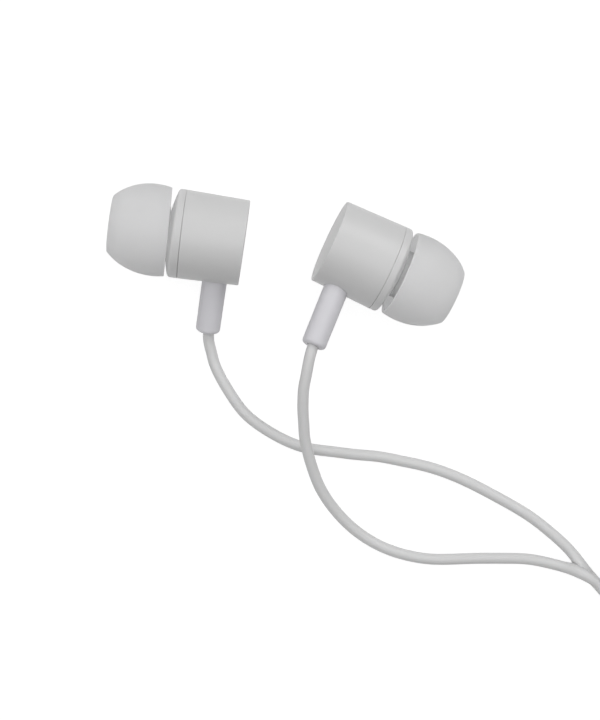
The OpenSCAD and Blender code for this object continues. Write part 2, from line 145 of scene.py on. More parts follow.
def turned(outline: Array, sides: int = 96) -> Surface:
    """Surface of an outline carried round the z axis: (r cos a, r sin a, z).

    Args:
        outline: (r, z) points, with the solid on the left of their order. An end
            at r = 0 is closed in a point; with none there, the outline is closed.
        sides: number of steps round the axis.

    Returns:
        The closed surface, with uv as the share of the way round and the way along in mm.
    """
    first, last = outline[0, 0] == 0, outline[-1, 0] == 0
    rim = outline[int(first) : len(outline) - int(last)]
    angle = np.arange(sides) * 2 * np.pi / sides
    r, z = rim[:, 0][:, None], rim[:, 1][:, None]
    grid = np.stack([r * np.cos(angle), r * np.sin(angle), z + 0 * angle], axis=-1)
    way = way_along(rim)
    uv = np.stack(np.broadcast_arrays(angle[None, :] / (2 * np.pi), way[:, None]), axis=-1)
    points, places, caps = [grid.reshape(-1, 3)], [uv.reshape(-1, 2)], []
    if first:
        caps.append(fan(rim.shape[0] * sides, np.arange(sides), True))
        points.append([[0, 0, outline[0, 1]]])
        places.append([[0, 0]])
    if last:
        centre = rim.shape[0] * sides + int(first)
        caps.append(fan(centre, (rim.shape[0] - 1) * sides + np.arange(sides), False))
        points.append([[0, 0, outline[-1, 1]]])
        places.append([[0, way[-1]]])
    quads = grid_quads(len(rim), sides, not (first or last))
    triangles = np.vstack(caps) if caps else np.zeros((0, 3), int)
    return Surface(np.vstack(points), quads, triangles, np.vstack(places))


def unit(vectors: Array) -> Array:
    """Vectors divided by their lengths."""
    return vectors / np.linalg.norm(vectors, axis=-1, keepdims=True)


def swept(path: Array, section: Array, towards: Array) -> Surface:
    """Surface of a section carried along a path: path + side * x + up * y.

    side is the given direction made square to the path, and up is square to both.

    Args:
        path: (n, 3) points.
        section: (k, 2) or (n, k, 2) points round the path.
        towards: (n, 3) directions that the section's x points in.

    Returns:
        The surface, capped at both ends, with uv as the share of the way round and
        the way along in mm.
    """
    along = unit(np.gradient(path, axis=0))
    side = unit(towards - (towards * along).sum(axis=1, keepdims=True) * along)
    up = np.cross(along, side)
    shape = np.broadcast_to(section, (len(path),) + section.shape[-2:])
    grid = path[:, None] + side[:, None] * shape[..., :1] + up[:, None] * shape[..., 1:]
    rows, columns = grid.shape[:2]
    way, ring = way_along(path), np.arange(columns)
    uv = np.stack(np.broadcast_arrays(ring[None, :] / columns, way[:, None]), axis=-1).reshape(-1, 2)
    caps = [fan(rows * columns, ring, True), fan(rows * columns + 1, (rows - 1) * columns + ring, False)]
    points = np.vstack([grid.reshape(-1, 3), path[:1], path[-1:]])
    places = np.vstack([uv, [[0, 0], [0, way[-1]]]])
    return Surface(points, grid_quads(rows, columns, False), np.vstack(caps), places)


def spline(knots: Array, step: float, start: Array | None = None, end: Array | None = None) -> Array:
    """Cubic spline through points, each stretch as long in its parameter as its chord.

    The slopes solve the usual three-term equations, so that curvature is continuous.
    An end takes the given direction, or has no curvature if none is given.

    Args:
        knots: (n, 3) points.
        step: spacing of the points worked out, in mm.
        start: direction at the first point.
        end: direction at the last point.

    Returns:
        Points about one step apart.
    """
    h = np.linalg.norm(np.diff(knots, axis=0), axis=1)
    rise = np.diff(knots, axis=0) / h[:, None]
    n = len(knots)
    system, known = np.zeros((n, n)), np.zeros((n, 3))
    inner = np.arange(1, n - 1)
    system[inner, inner - 1] = h[1:]
    system[inner, inner] = 2 * (h[1:] + h[:-1])
    system[inner, inner + 1] = h[:-1]
    known[inner] = 3 * (h[1:, None] * rise[:-1] + h[:-1, None] * rise[1:])
    system[0, :2], known[0] = ((1, 0), unit(start)) if start is not None else ((2, 1), 3 * rise[0])
    system[-1, -2:], known[-1] = ((0, 1), unit(end)) if end is not None else ((1, 2), 3 * rise[-1])
    slope = np.linalg.solve(system, known)
    at = np.concatenate([[0], np.cumsum(h)])
    where = np.linspace(0, at[-1], max(2, int(round(at[-1] / step)) + 1))
    k = np.clip(np.searchsorted(at, where, side="right") - 1, 0, n - 2)
    t = ((where - at[k]) / h[k])[:, None]
    width = h[k][:, None]
    bend = (1 - t) * (slope[k] - rise[k]) - t * (slope[k + 1] - rise[k])
    return (1 - t) * knots[k] + t * knots[k + 1] + t * (1 - t) * width * bend


def fillet(
    before: Sequence[float], corner: Sequence[float], after: Sequence[float], radius: float
) -> Array:
    """Arc that touches both sides of a corner.

    Its centre is on the corner's bisector, radius / sin(half the angle) away, and its
    points turn evenly from one touching point to the other.

    Args:
        before: a point on the side that comes in.
        corner: the corner.
        after: a point on the side that goes out.
        radius: radius of the arc, in mm.

    Returns:
        The arc's points.
    """
    a, p, b = (np.array(v, float) for v in (before, corner, after))
    u, v = unit(a - p), unit(b - p)
    half = 0.5 * math.acos(float(np.clip(u @ v, -1, 1)))
    reach = radius / math.tan(half)
    centre = p + unit(u + v) * radius / math.sin(half)
    first, last = p + u * reach - centre, p + v * reach - centre
    turn = math.pi - 2 * half
    t = np.linspace(0, 1, ARC_POINTS)[:, None]
    return centre + (np.sin((1 - t) * turn) * first + np.sin(t * turn) * last) / math.sin(turn)


def softened(corners: Sequence[tuple[float, float, float]], closed: bool = True) -> Array:
    """Outline with every corner rounded.

    Args:
        corners: (r, z, radius) for each corner. An open outline's ends stay as they are.
        closed: whether the last corner is next to the first.

    Returns:
        Points of the outline.
    """
    flat = [(r, z) for r, z, _ in corners]
    n = len(corners)
    inner = range(n) if closed else range(1, n - 1)
    arcs = [fillet(flat[i - 1], flat[i], flat[(i + 1) % n], corners[i][2]) for i in inner]
    ends = [] if closed else [np.array([flat[0]]), np.array([flat[-1]])]
    return np.vstack(arcs if closed else [ends[0], *arcs, ends[1]])


def braced(outline: Array, closed: bool, margin: float = 0.06, over: float = 0.3) -> Array:
    """Adds two points near the ends of each long straight side.

    They keep the shading of flat faces flat right up to their rounded edges.

    Args:
        outline: (n, 2) points.
        closed: whether the last point is joined to the first.
        margin: distance of the new points from the side's ends, in mm.
        over: sides longer than this get them, in mm.

    Returns:
        The outline with the new points in it.
    """
    ahead = np.roll(outline, -1, axis=0)
    length = np.linalg.norm(ahead - outline, axis=1)
    near = (margin / np.maximum(length, 1e-9))[:, None] * (ahead - outline)
    stack = np.stack([outline, outline + near, ahead - near], axis=1)
    long = length > over
    if not closed:
        long[-1] = False
    keep = np.stack([np.ones(len(outline), bool), long, long], axis=1)
    return stack[keep]


def rotation(axis: int, degrees: float) -> Array:
    """Rotation about an axis, which turns the next axis towards the one after that.

    Args:
        axis: 0, 1 or 2 for x, y or z. The axis after z is x.
        degrees: the angle.

    Returns:
        The 3 by 3 matrix.
    """
    c, s = math.cos(math.radians(degrees)), math.sin(math.radians(degrees))
    first, second = (axis + 1) % 3, (axis + 2) % 3
    matrix = np.eye(3)
    matrix[first, [first, second]] = c, -s
    matrix[second, [first, second]] = s, c
    return matrix


def smooth_step(x: Array) -> Array:
    """Rises from 0 to 1 as half a cosine wave while x goes from 0 to 1."""
    return 0.5 - 0.5 * np.cos(np.pi * np.clip(x, 0, 1))


def add_piece(name: str, surface: Surface, material: Material, body: str) -> Object:
    """Makes a smooth-shaded object of a surface, and fastens it to a body.

    Args:
        name: the piece's name.
        surface: its surface, in millimetres.
        material: its finish.
        body: the CAD body that it rides on.

    Returns:
        The object, at the origin, with its place in its mesh.
    """
    mesh = bpy.data.meshes.new(name)
    corners = np.concatenate([surface.quads.ravel(), surface.triangles.ravel()])
    sizes = np.concatenate([np.full(len(surface.quads), 4), np.full(len(surface.triangles), 3)])
    mesh.vertices.add(len(surface.points))
    mesh.vertices.foreach_set("co", (surface.points * MM).astype(np.float32).ravel())
    mesh.loops.add(len(corners))
    mesh.loops.foreach_set("vertex_index", corners.astype(np.int32))
    mesh.polygons.add(len(sizes))
    mesh.polygons.foreach_set("loop_start", (np.cumsum(sizes) - sizes).astype(np.int32))
    mesh.polygons.foreach_set("use_smooth", np.ones(len(sizes), bool))
    layer = mesh.uv_layers.new(name="place")
    layer.data.foreach_set("uv", surface.uv[corners].astype(np.float32).ravel())
    mesh.update(calc_edges=True)
    mesh.validate()
    mesh.materials.append(material)
    piece = bpy.data.objects.new(name, mesh)
    bpy.context.scene.collection.objects.link(piece)
    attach(piece, body)
    LOG.info("%s: %d faces on %s", name, len(sizes), body)
    return piece


# ---------------------------------------------------------------- finishes


def linear(hex_colour: str) -> tuple[float, float, float, float]:
    """Turns an sRGB hex colour to linear light.

    A value v up to 0.04045 becomes v / 12.92, and a larger one ((v + 0.055) / 1.055)^2.4.

    Args:
        hex_colour: the colour, as #RRGGBB.

    Returns:
        Linear red, green and blue, and an alpha of 1.
    """
    srgb = np.array([int(hex_colour[i : i + 2], 16) for i in (1, 3, 5)]) / 255
    values = np.where(srgb <= 0.04045, srgb / 12.92, ((srgb + 0.055) / 1.055) ** 2.4)
    return (*(float(v) for v in values), 1.0)


def add_node(
    tree: bpy.types.NodeTree,
    kind: str,
    settings: Mapping[str | int, object],
    links: Mapping[str | int, Socket],
) -> bpy.types.Node:
    """Adds a node to a tree.

    Args:
        tree: the tree of a material or the world.
        kind: the node's type.
        settings: values by the name or number of an input, or by the name of a
            property of the node where no input has that name.
        links: outputs by the name or number of the input that they go to.

    Returns:
        The node.
    """
    node = tree.nodes.new(kind)
    for key, value in settings.items():
        if isinstance(key, int) or key in node.inputs:
            node.inputs[key].default_value = value
        else:
            setattr(node, key, value)
    for key, socket in links.items():
        tree.links.new(socket, node.inputs[key])
    return node


def shader_tree(name: str) -> tuple[Material, bpy.types.NodeTree, bpy.types.Node]:
    """Starts a material.

    Args:
        name: the material's name.

    Returns:
        The material, its tree and its Principled shader, which goes to its output.
    """
    material = bpy.data.materials.new(name)
    material.use_nodes = True
    tree = material.node_tree
    tree.nodes.clear()
    shader = add_node(tree, "ShaderNodeBsdfPrincipled", {}, {})
    add_node(tree, "ShaderNodeOutputMaterial", {}, {"Surface": shader.outputs[0]})
    return material, tree, shader


def skin(
    tree: bpy.types.NodeTree,
    shader: bpy.types.Node,
    roughness: tuple[float, float],
    uneven: Socket,
    depth_um: float,
    relief: Socket,
) -> None:
    """Gives a shader uneven gloss and a fine relief.

    Args:
        tree: the material's tree.
        shader: its Principled shader.
        roughness: the least and the greatest.
        uneven: pattern that moves the roughness between them.
        depth_um: depth of the relief, in micrometres.
        relief: pattern of the relief.
    """
    least, greatest = roughness
    gloss = add_node(tree, "ShaderNodeMapRange", {"To Min": least, "To Max": greatest}, {"Value": uneven})
    height = {"Distance": depth_um * UM, "Strength": 1.0}
    bump = add_node(tree, "ShaderNodeBump", height, {"Height": relief})
    tree.links.new(gloss.outputs[0], shader.inputs["Roughness"])
    tree.links.new(bump.outputs[0], shader.inputs["Normal"])


@dataclass(frozen=True)
class SoftFinish:
    """Moulded or extruded plastic and rubber: a cloudy colour under a fine skin.

    colour and shade are the two ends of the slow colour change, cloud_mm its size.
    grain_mm is the size of the skin's texture and grain_um its depth. scatter is the
    share of light that goes scatter_mm deep, and sheen the share that dust and fuzz
    turn back at a low angle. through is the share that passes right through a thin
    wall, tinted glow. uneven is how far the roughness goes up and down.
    """

    name: str
    colour: str
    shade: str
    roughness: float
    ior: float
    cloud_mm: float
    grain_mm: float
    grain_um: float
    scatter: float = 0.0
    scatter_mm: float = 0.5
    sheen: float = 0.0
    through: float = 0.0
    glow: str = "#FFFFFF"
    uneven: float = 0.04

    def build(self) -> Material:
        """Makes the material: noise in object space drives colour, gloss and bump.

        Returns:
            The material.
        """
        material, tree, shader = shader_tree(self.name)
        place = add_node(tree, "ShaderNodeTexCoord", {}, {}).outputs["Object"]
        wide = {"Scale": 1 / (self.cloud_mm * MM), "Detail": 3.0}
        cloud = add_node(tree, "ShaderNodeTexNoise", wide, {"Vector": place}).outputs[0]
        fine = {"Scale": 1 / (self.grain_mm * MM), "Detail": 2.0}
        grain = add_node(tree, "ShaderNodeTexNoise", fine, {"Vector": place}).outputs[0]
        ends = {"data_type": "RGBA", 6: linear(self.colour), 7: linear(self.shade)}
        colour = add_node(tree, "ShaderNodeMix", ends, {"Factor": cloud})
        tree.links.new(colour.outputs[2], shader.inputs["Base Color"])
        roughness = (self.roughness - self.uneven, self.roughness + self.uneven)
        skin(tree, shader, roughness, cloud, self.grain_um, grain)
        shader.inputs["IOR"].default_value = self.ior
        shader.inputs["Subsurface Weight"].default_value = self.scatter
        shader.inputs["Subsurface Radius"].default_value = (1.0, 1.0, 1.0)
        shader.inputs["Subsurface Scale"].default_value = self.scatter_mm * MM
        shader.inputs["Sheen Weight"].default_value = self.sheen
        if self.through > 0:
            thin = add_node(tree, "ShaderNodeBsdfTranslucent", {"Color": linear(self.glow)}, {})
            sides = {1: shader.outputs[0], 2: thin.outputs[0]}
            both = add_node(tree, "ShaderNodeMixShader", {0: self.through}, sides)
            tree.links.new(both.outputs[0], tree.get_output_node("ALL").inputs["Surface"])
        return material


@dataclass(frozen=True)
class JacketFinish:
    """Extruded lead jacket: faint die lines along it, and a slow ripple in its gloss.

    line_count is how many lines there are round it, line_um their depth and line_rate
    how quickly they change along it, per mm. ripple_mm is the length of the ripple, and
    the other values are as in the soft finish.
    """

    name: str
    colour: str
    shade: str
    roughness: float
    line_count: int
    line_um: float
    ripple_mm: float
    line_rate: float = 0.15
    ior: float = 1.52
    scatter: float = 0.1
    scatter_mm: float = 0.3
    uneven: float = 0.05

    def build(self) -> Material:
        """Makes the material from the tube's own uv: u round it, v along it in mm.

        Returns:
            The material.
        """
        material, tree, shader = shader_tree(self.name)
        place = add_node(tree, "ShaderNodeUVMap", {"uv_map": "place"}, {}).outputs[0]
        patterns = []
        for scale, detail in (
            ((self.line_count, self.line_rate, 1.0), 1.0),
            ((1.0, 1 / self.ripple_mm, 1.0), 2.0),
        ):
            drawn = add_node(tree, "ShaderNodeMapping", {"Scale": scale}, {"Vector": place})
            settings = {"Scale": 1.0, "Detail": detail}
            patterns.append(add_node(tree, "ShaderNodeTexNoise", settings, {"Vector": drawn.outputs[0]}))
        lines, ripple = (pattern.outputs[0] for pattern in patterns)
        ends = {"data_type": "RGBA", 6: linear(self.colour), 7: linear(self.shade)}
        colour = add_node(tree, "ShaderNodeMix", ends, {"Factor": ripple})
        tree.links.new(colour.outputs[2], shader.inputs["Base Color"])
        roughness = (self.roughness - self.uneven, self.roughness + self.uneven)
        skin(tree, shader, roughness, ripple, self.line_um, lines)
        shader.inputs["IOR"].default_value = self.ior
        shader.inputs["Subsurface Weight"].default_value = self.scatter
        shader.inputs["Subsurface Radius"].default_value = (1.0, 0.9, 0.8)
        shader.inputs["Subsurface Scale"].default_value = self.scatter_mm * MM
        return material


@dataclass(frozen=True)
class MetalFinish:
    """Plated, drawn or pressed metal: a mirror with a fine tooth, never quite even.

    tooth_mm is the size of the tool's marks, tooth_um their depth, and stretch how much
    closer together they are along each axis. smoother and rougher are how far the
    roughness goes down and up.
    """

    name: str
    colour: str
    roughness: float
    tooth_mm: float
    tooth_um: float
    stretch: tuple[float, float, float] = (1.0, 1.0, 1.0)
    metallic: float = 1.0
    smoother: float = 0.05
    rougher: float = 0.08

    def build(self) -> Material:
        """Makes the material: stretched noise gives tool marks and uneven gloss.

        Returns:
            The material.
        """
        material, tree, shader = shader_tree(self.name)
        place = add_node(tree, "ShaderNodeTexCoord", {}, {}).outputs["Object"]
        drawn = add_node(tree, "ShaderNodeMapping", {"Scale": self.stretch}, {"Vector": place})
        marks = {"Scale": 1 / (self.tooth_mm * MM), "Detail": 3.0}
        tooth = add_node(tree, "ShaderNodeTexNoise", marks, {"Vector": drawn.outputs[0]}).outputs[0]
        roughness = (self.roughness - self.smoother, self.roughness + self.rougher)
        skin(tree, shader, roughness, tooth, self.tooth_um, tooth)
        shader.inputs["Base Color"].default_value = linear(self.colour)
        shader.inputs["Metallic"].default_value = self.metallic
        return material


class Finish(Enum):
    """The finishes of the pieces, each named for the real material."""

    # Liquid silicone, moulded: soft, slightly see-through white with a dry skin.
    EAR_TIP = SoftFinish(
        "liquid_silicone", "#EDEDED", "#EAEAEB", roughness=0.46, ior=1.41, cloud_mm=9.0, grain_mm=0.35,
        grain_um=2.0, scatter=0.3, scatter_mm=0.8, through=0.6, glow="#F4F4F4",
    )  # fmt: skip
    # ABS, moulded in a fine spark-eroded mould: satin white, with the finest grain.
    # The real grain is 0.05 mm; it is drawn at 0.22 mm so that it shows at all.
    SHELL = SoftFinish(
        "abs_satin", "#D9D9D9", "#D5D5D5", roughness=0.42, ior=1.53, cloud_mm=8.0, grain_mm=0.22,
        grain_um=1.6, scatter=0.3, scatter_mm=0.4,
    )  # fmt: skip
    # Soft PVC, moulded over the lead: whiter and duller than the shell.
    SLEEVE = SoftFinish(
        "soft_pvc", "#DFDEE2", "#DAD9DD", roughness=0.5, ior=1.52, cloud_mm=5.0, grain_mm=0.25,
        grain_um=1.8, scatter=0.5, scatter_mm=0.6,
    )  # fmt: skip
    # TPE jacket, extruded: satin white with faint die lines along it.
    LEAD = JacketFinish(
        "tpe_jacket", "#DDDDDD", "#D8D8D8", roughness=0.48, line_count=14, line_um=3.0, ripple_mm=18.0
    )
    # Stainless wire, 0.08 mm thick and drawn at 0.11 mm: grey with bright crowns.
    MESH = MetalFinish("stainless_wire", "#A9ABAE", roughness=0.3, tooth_mm=0.2, tooth_um=0.5)
    # Open-cell foam: black and dull, with pores of 0.15 mm.
    FOAM = SoftFinish(
        "foam", "#2A2A2C", "#1C1C1E", roughness=0.9, ior=1.4, cloud_mm=1.0, grain_mm=0.15, grain_um=40.0
    )
    # Nickel silver sheet, pressed: warm grey, with rolling lines.
    GRILLE = MetalFinish(
        "nickel_silver", "#C8C2B4", roughness=0.32, tooth_mm=0.25, tooth_um=1.0, stretch=(1.0, 8.0, 8.0)
    )
    # PET film, hot-pressed: clear with a blue cast; solid here, because it is thin.
    FILM = SoftFinish(
        "pet_film", "#D5DBE2", "#C6CFD9", roughness=0.18, ior=1.58, cloud_mm=2.0, grain_mm=0.5,
        grain_um=1.0, scatter=0.3, scatter_mm=0.2,
    )  # fmt: skip
    # Enamelled copper wire: orange-brown under lacquer, with the turns' fine ribs.
    COPPER = MetalFinish(
        "enamelled_copper", "#B8642E", roughness=0.3, tooth_mm=0.12, tooth_um=3.0, metallic=0.9
    )
    # Glass-filled nylon: near-black, grainy.
    FRAME = SoftFinish(
        "filled_nylon", "#303033", "#28282B", roughness=0.55, ior=1.55, cloud_mm=1.5, grain_mm=0.12,
        grain_um=5.0,
    )  # fmt: skip
    # Zinc-plated steel, punched: bluish grey and a little cloudy.
    STEEL = MetalFinish("zinc_steel", "#BFC3C8", roughness=0.34, tooth_mm=0.6, tooth_um=1.5)
    # Nickel-plated neodymium, barrel-plated: soft bright grey.
    MAGNET = MetalFinish("nickel_magnet", "#C9C7C2", roughness=0.24, tooth_mm=0.8, tooth_um=1.0)
    # Glass-epoxy board with green resist: glossy over the weave's faint squares.
    BOARD = SoftFinish(
        "epoxy_board", "#1E5A36", "#17492B", roughness=0.3, ior=1.55, cloud_mm=0.8, grain_mm=0.4,
        grain_um=6.0,
    )  # fmt: skip
    # Non-woven paper: cream, with fibres.
    PAPER = SoftFinish(
        "damping_paper", "#D9D1B8", "#C9C0A4", roughness=0.85, ior=1.4, cloud_mm=0.6, grain_mm=0.1,
        grain_um=25.0,
    )  # fmt: skip
    # Wire strip coated with PVC: white, glossier than the lead.
    TIE = SoftFinish(
        "pvc_strip", "#E2E2E3", "#DCDCDE", roughness=0.32, ior=1.54, cloud_mm=6.0, grain_mm=0.5,
        grain_um=3.0, scatter=0.1, scatter_mm=0.3,
    )  # fmt: skip
    # Nickel-plated brass, turned: bright, with rings from the lathe along the plug.
    CONTACT = MetalFinish(
        "nickel_brass", "#D0CFCB", roughness=0.16, tooth_mm=0.5, tooth_um=0.8, stretch=(0.4, 9.0, 0.4)
    )
    # PBT between the contacts: black and smooth.
    INSULATOR = SoftFinish(
        "pbt_black", "#1B1B1D", "#161618", roughness=0.4, ior=1.55, cloud_mm=1.0, grain_mm=0.2,
        grain_um=1.0,
    )  # fmt: skip


class Wardrobe:
    """Builds each finish once, when a piece first asks for it."""

    def __init__(self) -> None:
        """Starts with no material made."""
        self._made: dict[Finish, Material] = {}

    def __getitem__(self, finish: Finish) -> Material:
        """The finish's material."""
        if finish not in self._made:
            self._made[finish] = finish.value.build()
        return self._made[finish]

    def dress(self, node: str, finish: Finish) -> None:
        """Gives a CAD node a finish, in place of its own material.

        Args:
            node: the node's name.
            finish: the finish.
        """
        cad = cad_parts[node]
        cad.data.materials.clear()
        cad.data.materials.append(self[finish])


# ---------------------------------------------------------------- the earpieces


@dataclass(frozen=True)
class Seat:
    """Where an earpiece lies: its parting line's centre, and how it is turned.

    on_table and height place the centre, lift is how far its tip points up, yaw is the
    way it points on the table, and roll turns it about its own axis, all in degrees.
    """

    on_table: tuple[float, float]
    height: float
    lift: float
    yaw: float
    roll: float

    def turn(self) -> Array:
        """The rotation: about the piece's axis, then down to the table, then on it."""
        return rotation(2, self.yaw) @ rotation(1, 90 - self.lift) @ rotation(2, self.roll)

    def place(self, points: Array) -> Array:
        """Points of the earpiece's own frame, where they lie."""
        return points @ self.turn().T + np.array([*self.on_table, self.height])


@dataclass(frozen=True)
class EarTip:
    """Silicone ear tip: a core on the nozzle, folded back at the front as a skirt.

    seat is how far in front of the groove the rim lies, and out how much further it has
    slipped. The skirt's outline is part of an ellipse, t along the tip from its rim:
    r = radius * sqrt(1 - ((t - waist) / half)^2). The core's back end is core_slant
    longer at its outside, so that it follows the shell's dome.

    wide squeezes the tip: its breadth on the table over its height. rim_tilt and
    face_tilt, in degrees, are how far each end is out of square on the table, rim_pitch
    is the same for the rim from bottom to top, and aside is how far the skirt has
    slipped sideways off the nozzle's axis. The slip starts slip_from from the axis and
    is whole slip_over further out.
    """

    seat: float
    wide: float
    out: float = 0.0
    rim_tilt: float = 0.0
    face_tilt: float = 0.0
    rim_pitch: float = 0.0
    aside: float = 0.0
    radius: float = 6.05
    waist: float = 1.9
    half: float = 7.5
    length: float = 7.8
    wall: float = 0.4
    rim_edge: float = 0.12
    front_edge: float = 0.32
    front_wall: float = 1.35
    fold: float = 1.75
    crown: float = 0.12
    crown_r: float = 2.6
    core_r: float = 2.65
    core_wall: float = 0.68
    core_back: float = 1.85
    core_slant: float = 0.12
    outlet_r: float = 2.0
    nozzle_end: float = 7.0
    nozzle_gap: float = 0.2
    slip_from: float = 3.3
    slip_over: float = 1.5

    def rim_z(self) -> float:
        """Where the rim is along the earpiece."""
        return self.seat + self.out

    def skirt(self, t: Array, inset: float) -> Array:
        """Points of the skirt's outline, at distances t from the rim, moved in by inset."""
        share = (t - self.waist) / (self.half - 2 * inset)
        return np.stack([(self.radius - inset) * np.sqrt(1 - share**2), t], axis=-1)

    def outline(self) -> Array:
        """Draws the wall's section, from the rim's outside round to its inside.

        Returns:
            (r, z) points of the closed outline, z from the rim.
        """
        outer = self.skirt(np.linspace(2 * self.rim_edge, self.length - self.wall, 44), 0)
        inner = self.skirt(np.linspace(self.length - self.fold, 2 * self.rim_edge, 36), self.wall)
        face_r = self.skirt(np.array([self.length]), 0)[0, 0]
        core_out = self.core_r + self.core_wall
        start, stop = self.core_back - self.rim_z(), self.nozzle_end + self.nozzle_gap - self.rim_z()
        face = (self.crown_r, self.length + self.crown)
        front = fillet(outer[-1], (face_r, self.length), face, self.front_edge)
        corners = [
            (*face, 1.0),
            (self.outlet_r, self.length + self.crown, 0.3),
            (self.outlet_r, stop, 0.06),
            (self.core_r, stop, 0.06),
            (self.core_r, start, 0.06),
            (core_out, start - self.core_slant, 0.04),
            (core_out, self.length - self.front_wall, 0.35),
        ]
        flat = [tuple(front[-1])] + [(r, z) for r, z, _ in corners] + [tuple(inner[0])]
        arcs = [fillet(flat[i], flat[i + 1], flat[i + 2], corners[i][2]) for i in range(len(corners))]
        rim_out, rim_in = (tuple(self.skirt(np.zeros(1), inset)[0]) for inset in (0, self.wall))
        inside = fillet(inner[-1], rim_in, rim_out, self.rim_edge)
        outside = fillet(rim_in, rim_out, outer[0], self.rim_edge)
        return braced(np.vstack([outer, front, *arcs, inner, inside, outside]), True)

    def settle(self, points: Array, seat: Seat) -> Array:
        """Squeezes the tip across the table, and puts its skirt askew.

        Breadth on the table is multiplied by sqrt(wide) and height divided by it. Each
        point then moves along the axis by its breadth and height times slopes that go
        evenly from the rim's to the face's, and sideways by aside, which fades out
        towards the core.

        Args:
            points: points in the earpiece's own frame.
            seat: how the earpiece lies, which says what is level.

        Returns:
            The moved points, in the same frame.
        """
        axis = seat.turn()[:, 2]
        level = unit(np.cross(axis, [0.0, 0.0, 1.0])) @ seat.turn()
        downward = np.cross([0.0, 0.0, 1.0], level)
        stretch = math.sqrt(self.wide)
        low, broad = (points @ downward)[:, None], (points @ level)[:, None]
        moved = points + downward * low * (1 / stretch - 1) + level * broad * (stretch - 1)
        share = np.clip((points[:, 2:] - self.rim_z()) / self.length, 0, 1)
        slope = np.tan(np.radians(self.rim_tilt + (self.face_tilt - self.rim_tilt) * share))
        pitch = np.tan(np.radians(self.rim_pitch * (1 - share)))
        from_axis = np.hypot(points[:, :1], points[:, 1:2])
        outside = smooth_step((from_axis - self.slip_from) / self.slip_over)
        along = (broad * slope + low * pitch) * np.array([0.0, 0.0, 1.0])
        return moved + along + level * self.aside * outside

    def surface(self, seat: Seat) -> Surface:
        """The tip's surface, where it lies."""
        lathe = turned(self.outline() + [0, self.rim_z()], 128)
        return lathe.moved(lambda p: seat.place(self.settle(p, seat)))


